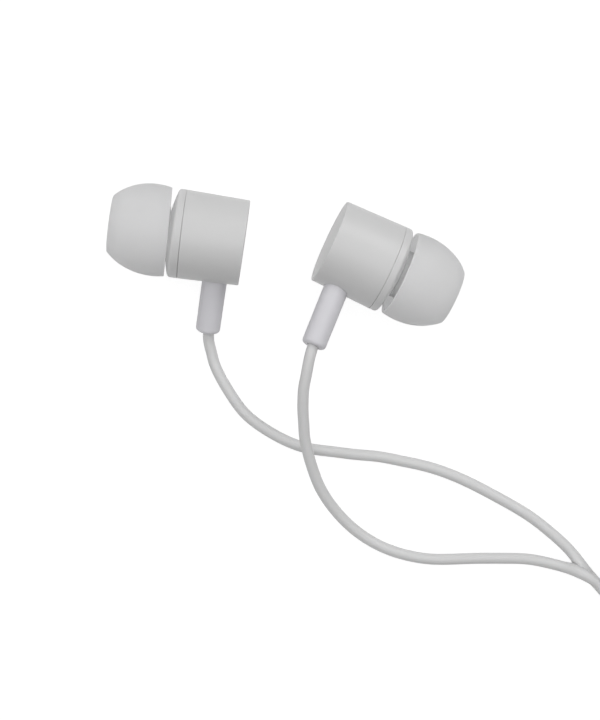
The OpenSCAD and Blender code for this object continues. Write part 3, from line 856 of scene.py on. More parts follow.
@dataclass(frozen=True)
class Housing:
    """Rear and front shell, which meet in a fine groove at z = 0.

    groove is how deep it is, slit how wide, and ajar how much further it gapes on the
    near side, towards -y, because the front shell isn't pressed quite home. offset and
    slant move the groove itself along the axis: all of it, and its near side. What is
    less than moves_within from z = 0 moves with it, fading out over fades_over, but
    only the shells' outside, down to under_floor below the groove's floor.
    """

    back_r: float = 5.725
    front_r: float = 5.95
    length: float = 8.45
    wall: float = 0.9
    back_wall: float = 1.0
    back_crown: float = 0.05
    back_edge: float = 0.14
    front_edge: float = 0.4
    groove: float = 0.15
    slit: float = 0.02
    ajar: float = 0.0
    offset: float = 0.0
    slant: float = 0.0
    moves_within: float = 0.1
    fades_over: float = 0.2
    under_floor: float = 0.02
    band: float = 0.74
    ball_r: float = 18.7
    spigot_r: float = 5.02
    spigot_bore: float = 4.0
    spigot: float = 1.6
    chamber_r: float = 3.4
    chamber_back: float = 0.45
    chamber_front: float = 1.0
    nozzle_r: float = 2.3
    bore_r: float = 1.7
    nozzle_end: float = 7.0
    screen_step: float = 0.3
    barb_r: float = 2.6
    barb_at: tuple[float, float, float] = (1.2, 0.9, 0.65)

    def rear(self) -> Surface:
        """Turns the rear shell: a slightly conical cup with a slightly crowned back.

        Returns:
            Its surface, in the earpiece's own frame.
        """
        inner_r, back, floor_r = self.front_r - self.wall, -self.length, self.front_r - self.groove
        crown = np.linspace(0, self.back_r - self.back_edge, 14)
        flat = np.stack([crown, back - self.back_crown * (1 - (crown / self.back_r) ** 2)], axis=-1)
        edge = fillet((0, back), (self.back_r, back), (self.front_r, 0), self.back_edge)
        lip = softened(
            [
                (self.back_r, back, 0.1),
                (self.front_r, -self.slit / 2, 0.04),
                (floor_r, -self.slit / 2, 0.02),
                (floor_r, 0, 0.01),
                (inner_r, 0, 0.05),
                (inner_r, back + self.back_wall, 0.3),
                (0, back + self.back_wall, 0.1),
            ],
            closed=False,
        )
        return turned(braced(np.vstack([flat, edge, lip[1:]]), False), 144)

    def front(self) -> Surface:
        """Turns the front shell: band, round shoulder, shallow ball dome and barbed nozzle.

        The shoulder is an arc that touches the band and, inside, the ball.

        Returns:
            Its surface, in the earpiece's own frame.
        """
        shoulder_r, reach = self.front_r - self.front_edge, self.ball_r - self.front_edge
        centre = self.band - math.sqrt(reach**2 - shoulder_r**2)
        turn = np.linspace(0, math.pi / 2 - math.asin(shoulder_r / reach), 12)
        arc = self.front_edge * np.stack([np.cos(turn), np.sin(turn)], axis=-1)
        shoulder = arc + [shoulder_r, self.band]
        across = np.linspace(shoulder[-1, 0] - 0.2, self.nozzle_r + 0.12, 22)
        dome = np.stack([across, centre + np.sqrt(self.ball_r**2 - across**2)], axis=-1)
        dome_z = centre + math.sqrt(self.ball_r**2 - self.nozzle_r**2)
        root = fillet(dome[-2], (self.nozzle_r, dome_z), (self.nozzle_r, self.nozzle_end), 0.1)
        floor_r, tip, screen_r = self.front_r - self.groove, self.nozzle_end, self.bore_r + self.screen_step
        barb_back, barb_top, barb_front = (tip - distance for distance in self.barb_at)
        before = [
            (self.spigot_bore, -self.spigot, 0.05),
            (self.spigot_r, -self.spigot, 0.1),
            (self.spigot_r, 0.0, 0.02),
            (floor_r, 0, 0.01),
            (floor_r, self.slit / 2, 0.02),
            (self.front_r, self.slit / 2, 0.04),
        ]
        after = [
            (self.nozzle_r, barb_back, 0.1),
            (self.barb_r, barb_top, 0.08),
            (self.barb_r, barb_front, 0.08),
            (self.nozzle_r, tip, 0.1),
            (screen_r, tip, 0.05),
            (screen_r, tip - self.screen_step, 0.03),
            (self.bore_r, tip - self.screen_step, 0.03),
            (self.bore_r, dome_z, 0.1),
            (self.chamber_r, self.chamber_front, 0.1),
            (self.chamber_r, self.chamber_back, 0.03),
            (self.spigot_bore, self.chamber_back, 0.03),
        ]
        first = [after[-1][:2]] + [(r, z) for r, z, _ in before] + [(self.front_r, self.band)]
        arcs = [fillet(first[i], first[i + 1], first[i + 2], before[i][2]) for i in range(len(before))]
        last = [tuple(root[-1])] + [(r, z) for r, z, _ in after] + [before[0][:2]]
        ends = [fillet(last[i], last[i + 1], last[i + 2], after[i][2]) for i in range(len(after))]
        return turned(braced(np.vstack([*arcs, shoulder, dome, root, *ends]), True), 144)

    def near_side(self, points: Array, seat: Seat) -> Array:
        """How far points are towards the near side: -1 and 1 at the shell's two sides."""
        return np.clip(points @ (np.array([0.0, -1.0, 0.0]) @ seat.turn()) / self.front_r, -1, 1)

    def parting(self, points: Array, seat: Seat) -> Array:
        """Moves the points at the groove by offset and slant.

        Args:
            points: points of a shell, in the earpiece's own frame.
            seat: how the earpiece lies, which says which side is near.

        Returns:
            The points, in the same frame.
        """
        at_groove = 1 - smooth_step((np.abs(points[:, 2]) - self.moves_within) / self.fades_over)
        floor_r = self.front_r - self.groove - self.under_floor
        outside = np.hypot(points[:, 0], points[:, 1]) > floor_r
        move = (self.offset + self.slant * self.near_side(points, seat)) * at_groove * outside
        return points + np.outer(move, [0.0, 0.0, 1.0])

    def gape(self, points: Array, seat: Seat) -> Array:
        """Points of the front shell, moved forward: by nothing at the far side, ajar at the near one."""
        share = 0.5 + 0.5 * self.near_side(points, seat)
        return self.parting(points, seat) + np.outer(self.ajar * share, [0.0, 0.0, 1.0])


@dataclass(frozen=True)
class WovenScreen:
    """Plain-woven wire screen: wires cross over and under each other as cosine waves."""

    radius: float = 1.98
    pitch: float = 0.26
    wire_r: float = 0.055
    z: float = 6.78
    sides: int = 6
    steps: int = 5
    fewest: int = 8

    def wires(self, across: bool) -> Surface:
        """All wires that run one way: height = +-r cos(pi x / pitch), by turns.

        Args:
            across: whether they run along y; if not, they run along x.

        Returns:
            The wires, as one surface.
        """
        count = int(self.radius / self.pitch)
        offsets = np.arange(-count, count + 1) * self.pitch
        turn = np.arange(self.sides) * 2 * np.pi / self.sides
        section = self.wire_r * np.stack([np.cos(turn), np.sin(turn)], axis=-1)
        made = []
        for number, offset in enumerate(offsets):
            span = math.sqrt(self.radius**2 - offset**2)
            x = np.linspace(-span, span, max(self.fewest, int(2 * span / self.pitch * self.steps)))
            sign = (-1) ** (number + int(across))
            wave = sign * self.wire_r * np.cos(np.pi * x / self.pitch)
            line = np.stack([x, np.full_like(x, offset), self.z + wave], axis=-1)
            path = line[:, [1, 0, 2]] if across else line
            made.append(swept(path, section, np.tile([0.0, 0.0, 1.0], (len(path), 1))))
        return joined(made)

    def surface(self) -> Surface:
        """Both sets of wires."""
        return joined([self.wires(False), self.wires(True)])


@dataclass(frozen=True)
class Sleeve:
    """Strain relief: a flange inside the shell, and a soft sleeve with a round end.

    out is how much further than in its drawing it stands out of the shell, and slant how
    far it leans towards the tip, in degrees, about the shell's axis.
    """

    out: float
    slant: float = 0.0
    back: float = 5.2
    radius: float = 1.675
    end_r: float = 1.645
    flange_r: float = 2.0
    flange_x: float = 3.45
    flange_t: float = 0.7
    taper_from: float = 6.3
    end: float = 13.6
    socket_r: float = 0.82
    socket: float = 1.0

    def surface(self, seat: Seat) -> Surface:
        """Turns the sleeve, which stands along the earpiece's x.

        Args:
            seat: how the earpiece lies.

        Returns:
            The sleeve's surface, where it lies.
        """
        flange_end, floor = self.flange_x + self.flange_t, self.end - self.socket
        outline = softened(
            [
                (0, self.flange_x, 0.1),
                (self.flange_r, self.flange_x, 0.1),
                (self.flange_r, flange_end, 0.1),
                (self.radius, flange_end, 0.05),
                (self.radius, self.taper_from, 2.0),
                (self.end_r, self.end, 0.5),
                (self.socket_r, self.end, 0.14),
                (self.socket_r, floor, 0.05),
                (0, floor, 0.1),
            ],
            closed=False,
        )
        return turned(braced(outline, False), 96).moved(lambda p: seat.place(self.stand(p)))

    def stand(self, points: Array) -> Array:
        """Stands points that are drawn along z out of the shell.

        They turn about y by 90 degrees less the slant: x is their old z and z is less
        their old x, and then both lean.

        Args:
            points: points as drawn.

        Returns:
            The points in the earpiece's own frame.
        """
        c, s = math.cos(math.radians(self.slant)), math.sin(math.radians(self.slant))
        along = points[:, 2] + self.out
        x, z = along * c + points[:, 0] * s, along * s - points[:, 0] * c
        return np.stack([x, points[:, 1], z - self.back], axis=-1)

    def mouth(self, seat: Seat) -> Array:
        """Middle of the bottom of the socket that the lead comes out of."""
        return seat.place(self.stand(np.array([[0, 0, self.end - self.socket]])))[0]


def on_both_ends(tip: EarTip, housing: Housing) -> tuple[float, float]:
    """Height and lift of an earpiece that lies on its tip and its shell's back edge.

    The tip is thicker than the back, so the lift's sine is the difference of their
    radii over the distance from the back to the tip's widest place.

    Args:
        tip: the ear tip.
        housing: the shells.

    Returns:
        Height of the parting line's centre in mm, and the lift in degrees.
    """
    lift = math.asin((tip.radius - housing.back_r) / (housing.length + tip.seat + tip.waist))
    return housing.back_r + housing.length * math.sin(lift), math.degrees(lift)


def on_the_tip(tip: EarTip, lean: float) -> tuple[float, float]:
    """Height and lift of an earpiece that leans forward on its tip.

    The tip's outline is an ellipse, which touches the table hypot(radius cos(lean),
    half sin(lean)) below its middle.

    Args:
        tip: the ear tip.
        lean: how far the earpiece leans forward, in degrees.

    Returns:
        Height of the parting line's centre in mm, and the lift in degrees.
    """
    c, s = math.cos(math.radians(lean)), math.sin(math.radians(lean))
    return math.hypot(tip.radius * c, tip.half * s) + (tip.seat + tip.waist) * s, -lean


@dataclass
class Earpiece:
    """One earpiece: its tip, its shells, its sleeve and the driver inside."""

    side: Side
    seat: Seat
    tip: EarTip
    sleeve: Sleeve
    housing: Housing = field(default_factory=Housing)
    screen: WovenScreen = field(default_factory=WovenScreen)

    def lay_rear(self, points: Array) -> Array:
        """Points of the rear shell, with its groove out of square, where they lie."""
        return self.seat.place(self.housing.parting(points, self.seat))

    def lay_front(self, points: Array) -> Array:
        """Points of the front shell, ajar, where they lie."""
        return self.seat.place(self.housing.gape(points, self.seat))

    def build(self, wardrobe: Wardrobe) -> None:
        """Builds and dresses every piece of the earpiece.

        Args:
            wardrobe: the finishes.
        """
        body = "earphones"
        made = (
            ("ear_tip", self.tip.surface(self.seat), Finish.EAR_TIP, self.side.node("tip"), "ear_tip"),
            ("rear_shell", self.housing.rear().moved(self.lay_rear), Finish.SHELL, body, "shell"),
            ("front_shell", self.housing.front().moved(self.lay_front), Finish.SHELL, body, "shell"),
            ("nozzle_mesh", self.screen.surface().moved(self.seat.place), Finish.MESH, body, "mesh"),
            ("strain_relief", self.sleeve.surface(self.seat), Finish.SLEEVE, body, "sleeve"),
        )
        for node, surface, finish, rides, slot in made:
            piece = add_piece(self.side.node(f"{node}_skin"), surface, wardrobe[finish], rides)
            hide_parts(self.side.node(node))
        inside = {
            "gasket": Finish.FOAM,
            "front_grille": Finish.GRILLE,
            "diaphragm": Finish.FILM,
            "voice_coil": Finish.COPPER,
            "surround": Finish.FILM,
            "driver_frame": Finish.FRAME,
            "top_plate": Finish.STEEL,
            "magnet": Finish.MAGNET,
            "yoke": Finish.STEEL,
            "terminal_board": Finish.BOARD,
            "damping_paper": Finish.PAPER,
            "inner_wires": Finish.COPPER,
        }
        for node, finish in inside.items():
            wardrobe.dress(self.side.node(node), finish)


# ---------------------------------------------------------------- the lead


@dataclass(frozen=True)
class CoilPlan:
    """Where the spare lead is wound: two layers of turns, in and then out again.

    Each turn keeps its radius and steps by one strand's diameter in a short stretch.
    Angles are in degrees: entry from +x, where the lead comes in, and the others from
    there. The turns are a little out of round, as hand-wound ones are.
    """

    centre: tuple[float, float] = (64.4, -39.1)
    strand: float = 1.5
    outer_r: float = 19.35
    floor_z: float = 1.05
    entry: float = 220.1
    step_span: float = 40.0
    first_in: float = 320.0
    climb_at: float = 2060.0
    climb_span: float = 60.0
    first_out: float = 2380.0
    total: float = 4099.9
    steps: int = 5
    per_turn: int = 84
    out_of_round: float = 0.12
    long_way: float = 0.6
    ease: float = 60.0

    def path(self) -> Array:
        """The lower strand's line through the coil.

        The radius is the outer one, less a strand for each step in already made, plus
        one for each step out; the height is the floor plus two strands after the climb.
        Out of round, the radius goes up and down twice a turn, as cos(2 angle +
        long_way), and eases in and out at the coil's ends.

        Returns:
            The line's points.
        """
        angle = np.linspace(0, self.total, int(self.total / 360 * self.per_turn))
        turns_before = 360.0 * np.arange(self.steps)[:, None]
        went_in = smooth_step((angle - self.first_in - turns_before) / self.step_span).sum(axis=0)
        went_out = smooth_step((angle - self.first_out - turns_before) / self.step_span).sum(axis=0)
        eased = smooth_step(angle / self.ease) * smooth_step((self.total - angle) / self.ease)
        turn = np.radians(angle + self.entry)
        r = self.outer_r + self.strand * (went_out - went_in)
        r = r + eased * self.out_of_round * np.cos(2 * turn + self.long_way)
        z = self.floor_z + 2 * self.strand * smooth_step((angle - self.climb_at) / self.climb_span)
        x, y = self.centre
        return np.stack([x + r * np.cos(turn), y + r * np.sin(turn), z], axis=-1)


LEFT_ROUTE = np.array(
    [
        [-10.36, -7.78, 1.96], [-10.38, -8.75, 1.65], [-10.34, -10.15, 1.2], [-10.05, -11.4, 0.9],
        [-9.7, -12.8, 0.77], [-9.1, -14.3, 0.75], [-7.5, -17.1, 0.75], [-5.5, -19.8, 0.75],
        [-3, -21.8, 0.75], [-0.2, -23.4, 0.75], [2.8, -24.5, 0.75], [6.2, -25, 0.75],
        [9.4, -25.4, 0.75], [12.6, -25.7, 0.75], [15.8, -26.3, 0.75], [19, -27, 0.75],
        [22.1, -28, 0.75], [25.1, -29.3, 0.75], [28, -30.8, 0.75], [30.9, -32.4, 0.75],
        [33.6, -34.1, 0.75], [36, -36, 0.75], [38, -37.8, 0.75], [39.5, -39.5, 0.75],
        [40.8, -41.2, 0.75], [41.9, -42.5, 0.75], [42.8, -43.5, 0.75], [44.6, -45.7, 0.8],
        [46.5, -47.9, 0.92], [48.2, -49.9, 1.02],
    ]
)  # fmt: skip

RIGHT_ROUTE = np.array(
    [
        [4.07, -9.86, 9.52], [3.72, -10.75, 9.71], [3.45, -11.6, 9.85], [3.1, -13.1, 9.8],
        [2.8, -14.7, 9.5], [2.5, -16.3, 9.05], [2.4, -17.9, 8.5], [2.4, -19.5, 7.9],
        [2.5, -21.1, 7.25], [2.6, -22.7, 6.6], [2.9, -24.3, 5.95], [3.3, -25.9, 5.3],
        [3.8, -27.5, 4.6], [4.4, -29.1, 3.95], [6, -31.9, 2.7], [8.1, -34.4, 1.65],
        [10.6, -36.5, 0.95], [13.5, -38.1, 0.76], [16.6, -39.1, 0.75], [19.8, -39.6, 0.75],
        [23.1, -39.6, 0.75], [26.3, -39.5, 0.75], [29.6, -39.5, 0.75], [32.8, -39.6, 0.75],
        [36, -40.2, 0.77], [37.9, -40.7, 0.95], [39.4, -41.2, 1.8], [41.1, -42, 2.25],
        [42, -42.6, 2.25], [42.8, -43.5, 2.25], [44.6, -45.7, 2.3], [46.5, -47.9, 2.42],
        [48.2, -49.9, 2.52],
    ]
)  # fmt: skip

TAIL_ROUTE = np.array(
    [
        [83.77, -37.7, 4], [83.9, -35.3, 3.65], [84.1, -33, 3], [84.3, -30.5, 2.35],
        [84.4, -29, 2.07], [84.4, -28, 2.05],
    ]
)  # fmt: skip


@dataclass(frozen=True)
class Strand:
    """One strand of the lead, from its earpiece through the coil to the plug.

    The strands are bonded from about bond_x on. There each has a web: within web_angle
    degrees of the other strand its section goes out to a flat that joins them. The web
    is whole where the strands touch and gone where they are web_reach of a diameter
    apart. The section turns towards the other strand once they are within two
    diameters, over turn_over of a diameter, past turn_x. The other strand is looked for
    up to look_ahead points past where this one joins the coil.
    """

    side: Side
    lay: Lay
    route: Array
    start: Array
    coil: CoilPlan = CoilPlan()
    radius: float = 0.75
    length: float = 1200.0
    step: float = 0.4
    tail_step: float = 0.5
    sides: int = 20
    bond_x: float = 37.0
    web_angle: float = 37.0
    web_reach: float = 0.4
    turn_x: float = 30.0
    turn_over: float = 0.8
    look_ahead: int = 12

    def path(self) -> Array:
        """The strand's line: its route, the coil, and the tail into the plug.

        Returns:
            The line's points.
        """
        lift = np.array([0, 0, 0 if self.lay is Lay.LOWER else 2 * self.radius])
        coil = self.coil.path() + lift
        knots = np.vstack([self.start, self.route[1:], coil[0]])
        free = spline(knots, self.step, knots[1] - knots[0], coil[1] - coil[0])
        tail = np.vstack([coil[-1], TAIL_ROUTE + lift])
        last = spline(tail, self.tail_step, coil[-1] - coil[-2], np.array([0.0, 1.0, 0.0]))
        return np.vstack([free[:-1], coil, last[1:]])

    def surface(self, path: Array, other: Array) -> Surface:
        """The strand's jacket, with a web towards the other strand where they are bonded.

        The section is a circle whose radius is divided by cos(angle) within web_angle
        of the other strand, which makes the flat that joins them.

        Args:
            path: this strand's line.
            other: the other strand's line.

        Returns:
            The tube's surface, its uv in shares round and mm along.
        """
        free = int(np.argmin(np.linalg.norm(path - self.coil.path()[0], axis=1)))
        near, x = other[: free + self.look_ahead], path[:free, 0]
        gap = np.linalg.norm(path[:free, None] - near[None], axis=2)
        nearest = near[gap.argmin(axis=1)] - path[:free]
        apart = gap.min(axis=1) / (2 * self.radius)
        weight = np.ones(len(path))
        weight[:free] = (1 - smooth_step((apart - 1) / self.web_reach)) * smooth_step(x - self.bond_x)
        face = np.tile([0.0, 0.0, self.lay.value], (len(path), 1))
        turn = (smooth_step((2 - apart) / self.turn_over) * (x > self.turn_x))[:, None]
        face[:free] = unit((1 - turn) * face[:free] + turn * unit(nearest))
        angle = np.arange(self.sides) * 2 * np.pi / self.sides
        away = np.minimum(angle, 2 * np.pi - angle)
        web = np.where(away < np.radians(self.web_angle), 1 / np.cos(away), 1.0) - 1
        r = self.radius * (1 + weight[:, None] * web[None, :])
        section = r[..., None] * np.stack([np.cos(angle), np.sin(angle)], axis=-1)
        return swept(path, section, face)


@dataclass
class TwinLead:
    """Both strands of the lead, side by side in the making."""

    left: Strand
    right: Strand

    def build(self, wardrobe: Wardrobe, on_it: Sequence[Object | str]) -> None:
        """Args:
            wardrobe: the finishes.
            on_it: the plug's pieces and the tie; not used.
        """
        pair = ((self.left, self.right), (self.right, self.left))
        for strand, other in pair:
            path, beside = strand.path(), other.path()
            LOG.info("%s strand: %.1f mm long", strand.side.value, way_along(path)[-1])
            tube = strand.surface(path, beside)
            piece = add_piece(strand.side.node("strand"), tube, wardrobe[Finish.LEAD], "earphones")
            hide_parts(strand.side.node("lead"), "lead_coil", "lead_tail")
            tuple(strand.start * MM)
            2 * strand.radius * MM


@dataclass(frozen=True)
class CoilTie:
    """Coated wire strip: once round the coil, and its two ends twisted together.

    angle is where it sits on the coil, in degrees from +x. The band goes round from
    bottom to top and from inner_r to outer_r. Its two sides come together outside the
    coil: they are half_splay from its middle height at splay_at from it, and half_gap
    at nose. From there the twist runs twist_len further. In it the ends go round its
    middle at twist_r, less wide by the share narrowed, and past end_from of the way
    they splay by end_splay.
    """

    coil: CoilPlan = CoilPlan()
    angle: float = 115.0
    width: float = 3.0
    thick: float = 0.25
    inner_r: float = 10.8
    outer_r: float = 20.2
    bottom: float = 0.15
    top: float = 6.45
    corner: float = 0.9
    half_splay: float = 0.2
    splay_at: float = 0.35
    half_gap: float = 0.12
    nose: float = 1.0
    twist_turns: float = 2.5
    twist_len: float = 5.0
    twist_r: float = 0.16
    twist_steps: int = 48
    end_splay: float = 0.3
    end_from: float = 0.85
    narrowed: float = 0.62
    section_points: int = 24
    section_powers: tuple[float, float] = (0.6, 0.25)
    narrows_over: int = 9

    def path(self) -> tuple[Array, Array, Array]:
        """The strip's line in the plane across the coil, and how it is turned.

        Returns:
            Points (out from the coil's centre, across, up), the direction of the
            strip's thickness at each, and 1 for each in the twist, 0 elsewhere.
        """
        middle, out, inn = (self.bottom + self.top) / 2, self.outer_r, self.inner_r
        corners = [
            (out + self.nose, middle + self.half_gap, 0.1),
            (out + self.splay_at, middle + self.half_splay, 0.3),
            (out, self.top, self.corner),
            (inn, self.top, self.corner),
            (inn, self.bottom, self.corner),
            (out, self.bottom, self.corner),
            (out + self.splay_at, middle - self.half_splay, 0.3),
            (out + self.nose, middle - self.half_gap, 0.1),
        ]
        loop = braced(softened(corners, closed=False)[1:-1], False, 0.3, 0.8)
        band = np.stack([loop[:, 0], 0 * loop[:, 0], loop[:, 1]], axis=-1)
        ahead = unit(np.gradient(band, axis=0))
        normal = np.stack([ahead[:, 2], 0 * ahead[:, 0], -ahead[:, 0]], axis=-1)
        along = np.linspace(0, 1, self.twist_steps)[:, None]
        turn = 2 * np.pi * self.twist_turns * along
        reach = out + self.nose + self.twist_len * along
        offset = self.twist_r + self.end_splay * smooth_step((along - self.end_from) / (1 - self.end_from))
        lead_in = np.hstack([reach, offset * np.sin(turn), middle + offset * np.cos(turn)])[::-1]
        lead_out = np.hstack([reach, -offset * np.sin(turn), middle - offset * np.cos(turn)])
        faces = np.hstack([0 * turn, np.sin(turn), np.cos(turn)])
        path = np.vstack([lead_in, band, lead_out])
        thickness = np.vstack([faces[::-1], normal, -faces])
        twist = np.concatenate([np.ones(len(along)), np.zeros(len(band)), np.ones(len(along))])
        return path, thickness, twist

    def surface(self) -> Surface:
        """The strip's surface: a flat section with round edges, narrower in the twist.

        The section is (cos a, sin a) with each part's size raised to a power below 1,
        which fills out its corners. The width changes over a few points, as a running
        average of the share that path gives.

        Returns:
            The surface, where it lies.
        """
        path, thickness, twist = self.path()
        span = self.narrows_over
        ends = np.convolve(np.pad(twist, span // 2, mode="edge"), np.ones(span) / span, mode="valid")
        angle = np.arange(self.section_points) * 2 * np.pi / self.section_points
        circle = np.stack([np.cos(angle), np.sin(angle)], axis=-1)
        box = np.sign(circle) * np.abs(circle) ** np.array(self.section_powers)
        half_width = self.width / 2 * (1 - self.narrowed * ends)
        half = np.stack([np.full(len(path), self.thick / 2), half_width], axis=-1)
        strip = swept(path, box[None] * half[:, None], thickness)
        centre = np.array([*self.coil.centre, 0])
        return strip.moved(lambda p: p @ rotation(2, self.angle).T + centre)


# ---------------------------------------------------------------- the plug


@dataclass(frozen=True)
class Plug:
    """Straight 3.5 mm plug along +y: strain relief, handle and three contacts.

    Distances are along the plug, from its strain relief's back or, for the contacts,
    from the handle's front face. stems holds the outer radius of each part where it
    runs back inside the next one: the tip's rod, then each tube from the inside out.
    tube_from and rod_from are how far from the bottom of the handle's socket they start.
    The tip narrows to neck_r at neck_at from its start, widens to bulge_r at bulge_at,
    and rounds off to nose_r at nose_len from its end.
    """

    at: tuple[float, float, float] = (84.4, -28.0, 2.8)
    relief_len: float = 8.0
    relief_back_r: float = 1.72
    relief_front_r: float = 2.4
    relief_curve: float = 1.2
    rib_grooves: tuple[float, ...] = (1.7, 3.3, 4.9, 6.5)
    rib_depth: float = 0.28
    rib_half: float = 0.24
    relief_from: float = 0.25
    relief_round: float = 0.2
    relief_points: int = 160
    handle_len: float = 17.0
    handle_r: float = 2.8
    handle_edge: float = 0.3
    contact_r: float = 1.75
    length: float = 14.0
    tip_len: float = 3.6
    ring_len: float = 2.6
    gap: float = 0.6
    socket: float = 5.0
    tube_from: float = 0.5
    rod_from: float = 0.25
    neck_r: float = 1.15
    neck_at: float = 0.9
    bulge_r: float = 1.65
    bulge_at: float = 1.9
    nose_r: float = 0.75
    nose_len: float = 0.15
    stems: tuple[float, ...] = (0.4, 0.7, 1.0, 1.3, 1.55)

    def along(self, start: float) -> Callable[[Array], Array]:
        """Places turned points on the plug's axis, from a distance along it."""
        x, y, z = self.at
        return lambda p: np.stack([x + p[:, 0], y + start + p[:, 2], z - p[:, 1]], axis=-1)

    def relief(self) -> Surface:
        """Turns the strain relief: a taper with a rounded groove between its ribs.

        From relief_from on, its radius grows as (way along / length)^relief_curve, less, at each groove,
        rib_depth * exp(-(distance / rib_half)^4).

        Returns:
            Its surface along z.
        """
        z = np.linspace(self.relief_from, self.relief_len - 0.02, self.relief_points)
        growth = (z / self.relief_len) ** self.relief_curve
        taper = self.relief_back_r + (self.relief_front_r - self.relief_back_r) * growth
        distance = (z - np.array(self.rib_grooves)[:, None]) / self.rib_half
        groove = self.rib_depth * np.exp(-(distance**4)).sum(axis=0)
        side = np.stack([taper - groove, z], axis=-1)
        start = fillet((0, 0), (side[0, 0] + 0.02, 0), tuple(side[1]), self.relief_round)
        end = [[side[-1, 0], self.relief_len], [0, self.relief_len]]
        return turned(braced(np.vstack([[[0, 0]], start, side, end]), False), 96)

    def handle(self) -> Surface:
        """Turns the handle: a plain barrel with round edges and a bore for the contacts.

        Returns:
            Its surface along z.
        """
        r, end, bore_r = self.handle_r, self.handle_len, self.stems[-1]
        outline = softened(
            [
                (0, 0, 0.1),
                (r, 0, 0.6),
                (r, end - self.handle_edge - 0.05, 0.2),
                (r - self.handle_edge, end, 0.2),
                (bore_r, end, 0.05),
                (bore_r, end - self.socket, 0.05),
                (0, end - self.socket, 0.1),
            ],
            closed=False,
        )
        return turned(braced(outline, False), 112)

    def tube(self, inner: float, stem: float, start: float, stop: float) -> Surface:
        """Turns a contact or insulator: a tube in the handle, and its wide part outside.

        Args:
            inner: radius of its bore.
            stem: its outer radius in the handle.
            start: where its wide part starts.
            stop: where its wide part stops.

        Returns:
            Its surface along z.
        """
        inside, outer = self.tube_from - self.socket, self.contact_r
        corners = [(inner, inside, 0.03), (stem, inside, 0.03), (stem, start, 0.03)]
        corners += [(outer, start, 0.05), (outer, stop, 0.05), (inner, stop, 0.05)]
        return turned(braced(softened(corners), True), 96)

    def point(self) -> Surface:
        """Turns the tip contact: its rod, the neck for a socket's spring, and the point.

        Returns:
            Its surface along z.
        """
        head, end = self.length - self.tip_len, self.length
        rod, inside = self.stems[0], self.rod_from - self.socket
        outline = softened(
            [
                (0, inside, 0.1),
                (rod, inside, 0.05),
                (rod, head, 0.02),
                (self.contact_r, head, 0.06),
                (self.neck_r, head + self.neck_at, 0.3),
                (self.bulge_r, head + self.bulge_at, 0.3),
                (self.nose_r, end - self.nose_len, 0.3),
                (0, end, 0.1),
            ],
            closed=False,
        )
        return turned(braced(outline, False), 96)

    def build(self, wardrobe: Wardrobe) -> list[Object]:
        """Makes the plug's pieces.

        Args:
            wardrobe: the finishes.

        Returns:
            The pieces.
        """
        tip_at = self.length - self.tip_len
        ring_end, ring_at = tip_at - self.gap, tip_at - self.gap - self.ring_len
        face = self.relief_len + self.handle_len
        soft, metal, black = Finish.SLEEVE, Finish.CONTACT, Finish.INSULATOR
        made = [
            ("plug_strain_relief", self.relief(), 0.0, soft, "sleeve"),
            ("plug_handle", self.handle(), self.relief_len, soft, "sleeve"),
        ]
        tubes = (
            ("plug_sleeve_contact", metal, "contact", 0.0, ring_at - self.gap),
            ("plug_rear_insulator", black, "insulator", ring_at - self.gap, ring_at),
            ("plug_ring_contact", metal, "contact", ring_at, ring_end),
            ("plug_front_insulator", black, "insulator", ring_end, tip_at),
        )
        for number, (node, finish, slot, start, stop) in enumerate(tubes):
            stem, inner = self.stems[-1 - number], self.stems[-2 - number]
            made.append((node, self.tube(inner, stem, start, stop), face, finish, slot))
        made.append(("plug_tip_contact", self.point(), face, metal, "contact"))
        pieces = []
        for node, surface, start, finish, slot in made:
            placed = surface.moved(self.along(start))
            piece = add_piece(f"{node}_skin", placed, wardrobe[finish], "earphones")
            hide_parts(node)
            pieces.append(piece)
        return pieces


# ---------------------------------------------------------------- the studio


@dataclass(frozen=True)
class Lamp:
    """A soft square lamp that looks at the middle of the table; places are in metres."""

    name: str
    at: tuple[float, float, float]
    size: float
    watts: float

    def build(self) -> None:
        """Hangs the lamp: its z axis points back from the table, and its x is square to y.

        That y has a very little z in it, so that x is defined even for a lamp along y.
        """
        data = bpy.data.lights.new(self.name, "AREA")
        data.shape = "SQUARE"
        data.size = self.size
        data.energy = self.watts
        lamp = bpy.data.objects.new(self.name, data)
        bpy.context.scene.collection.objects.link(lamp)
        back = unit(np.array(self.at))
        side = unit(np.cross([0.0, 1.0, 0.001], back))
        matrix = np.eye(4)
        matrix[:3] = np.stack([side, np.cross(back, side), back, self.at], axis=-1)
        lamp.matrix_world = Matrix(matrix.tolist())


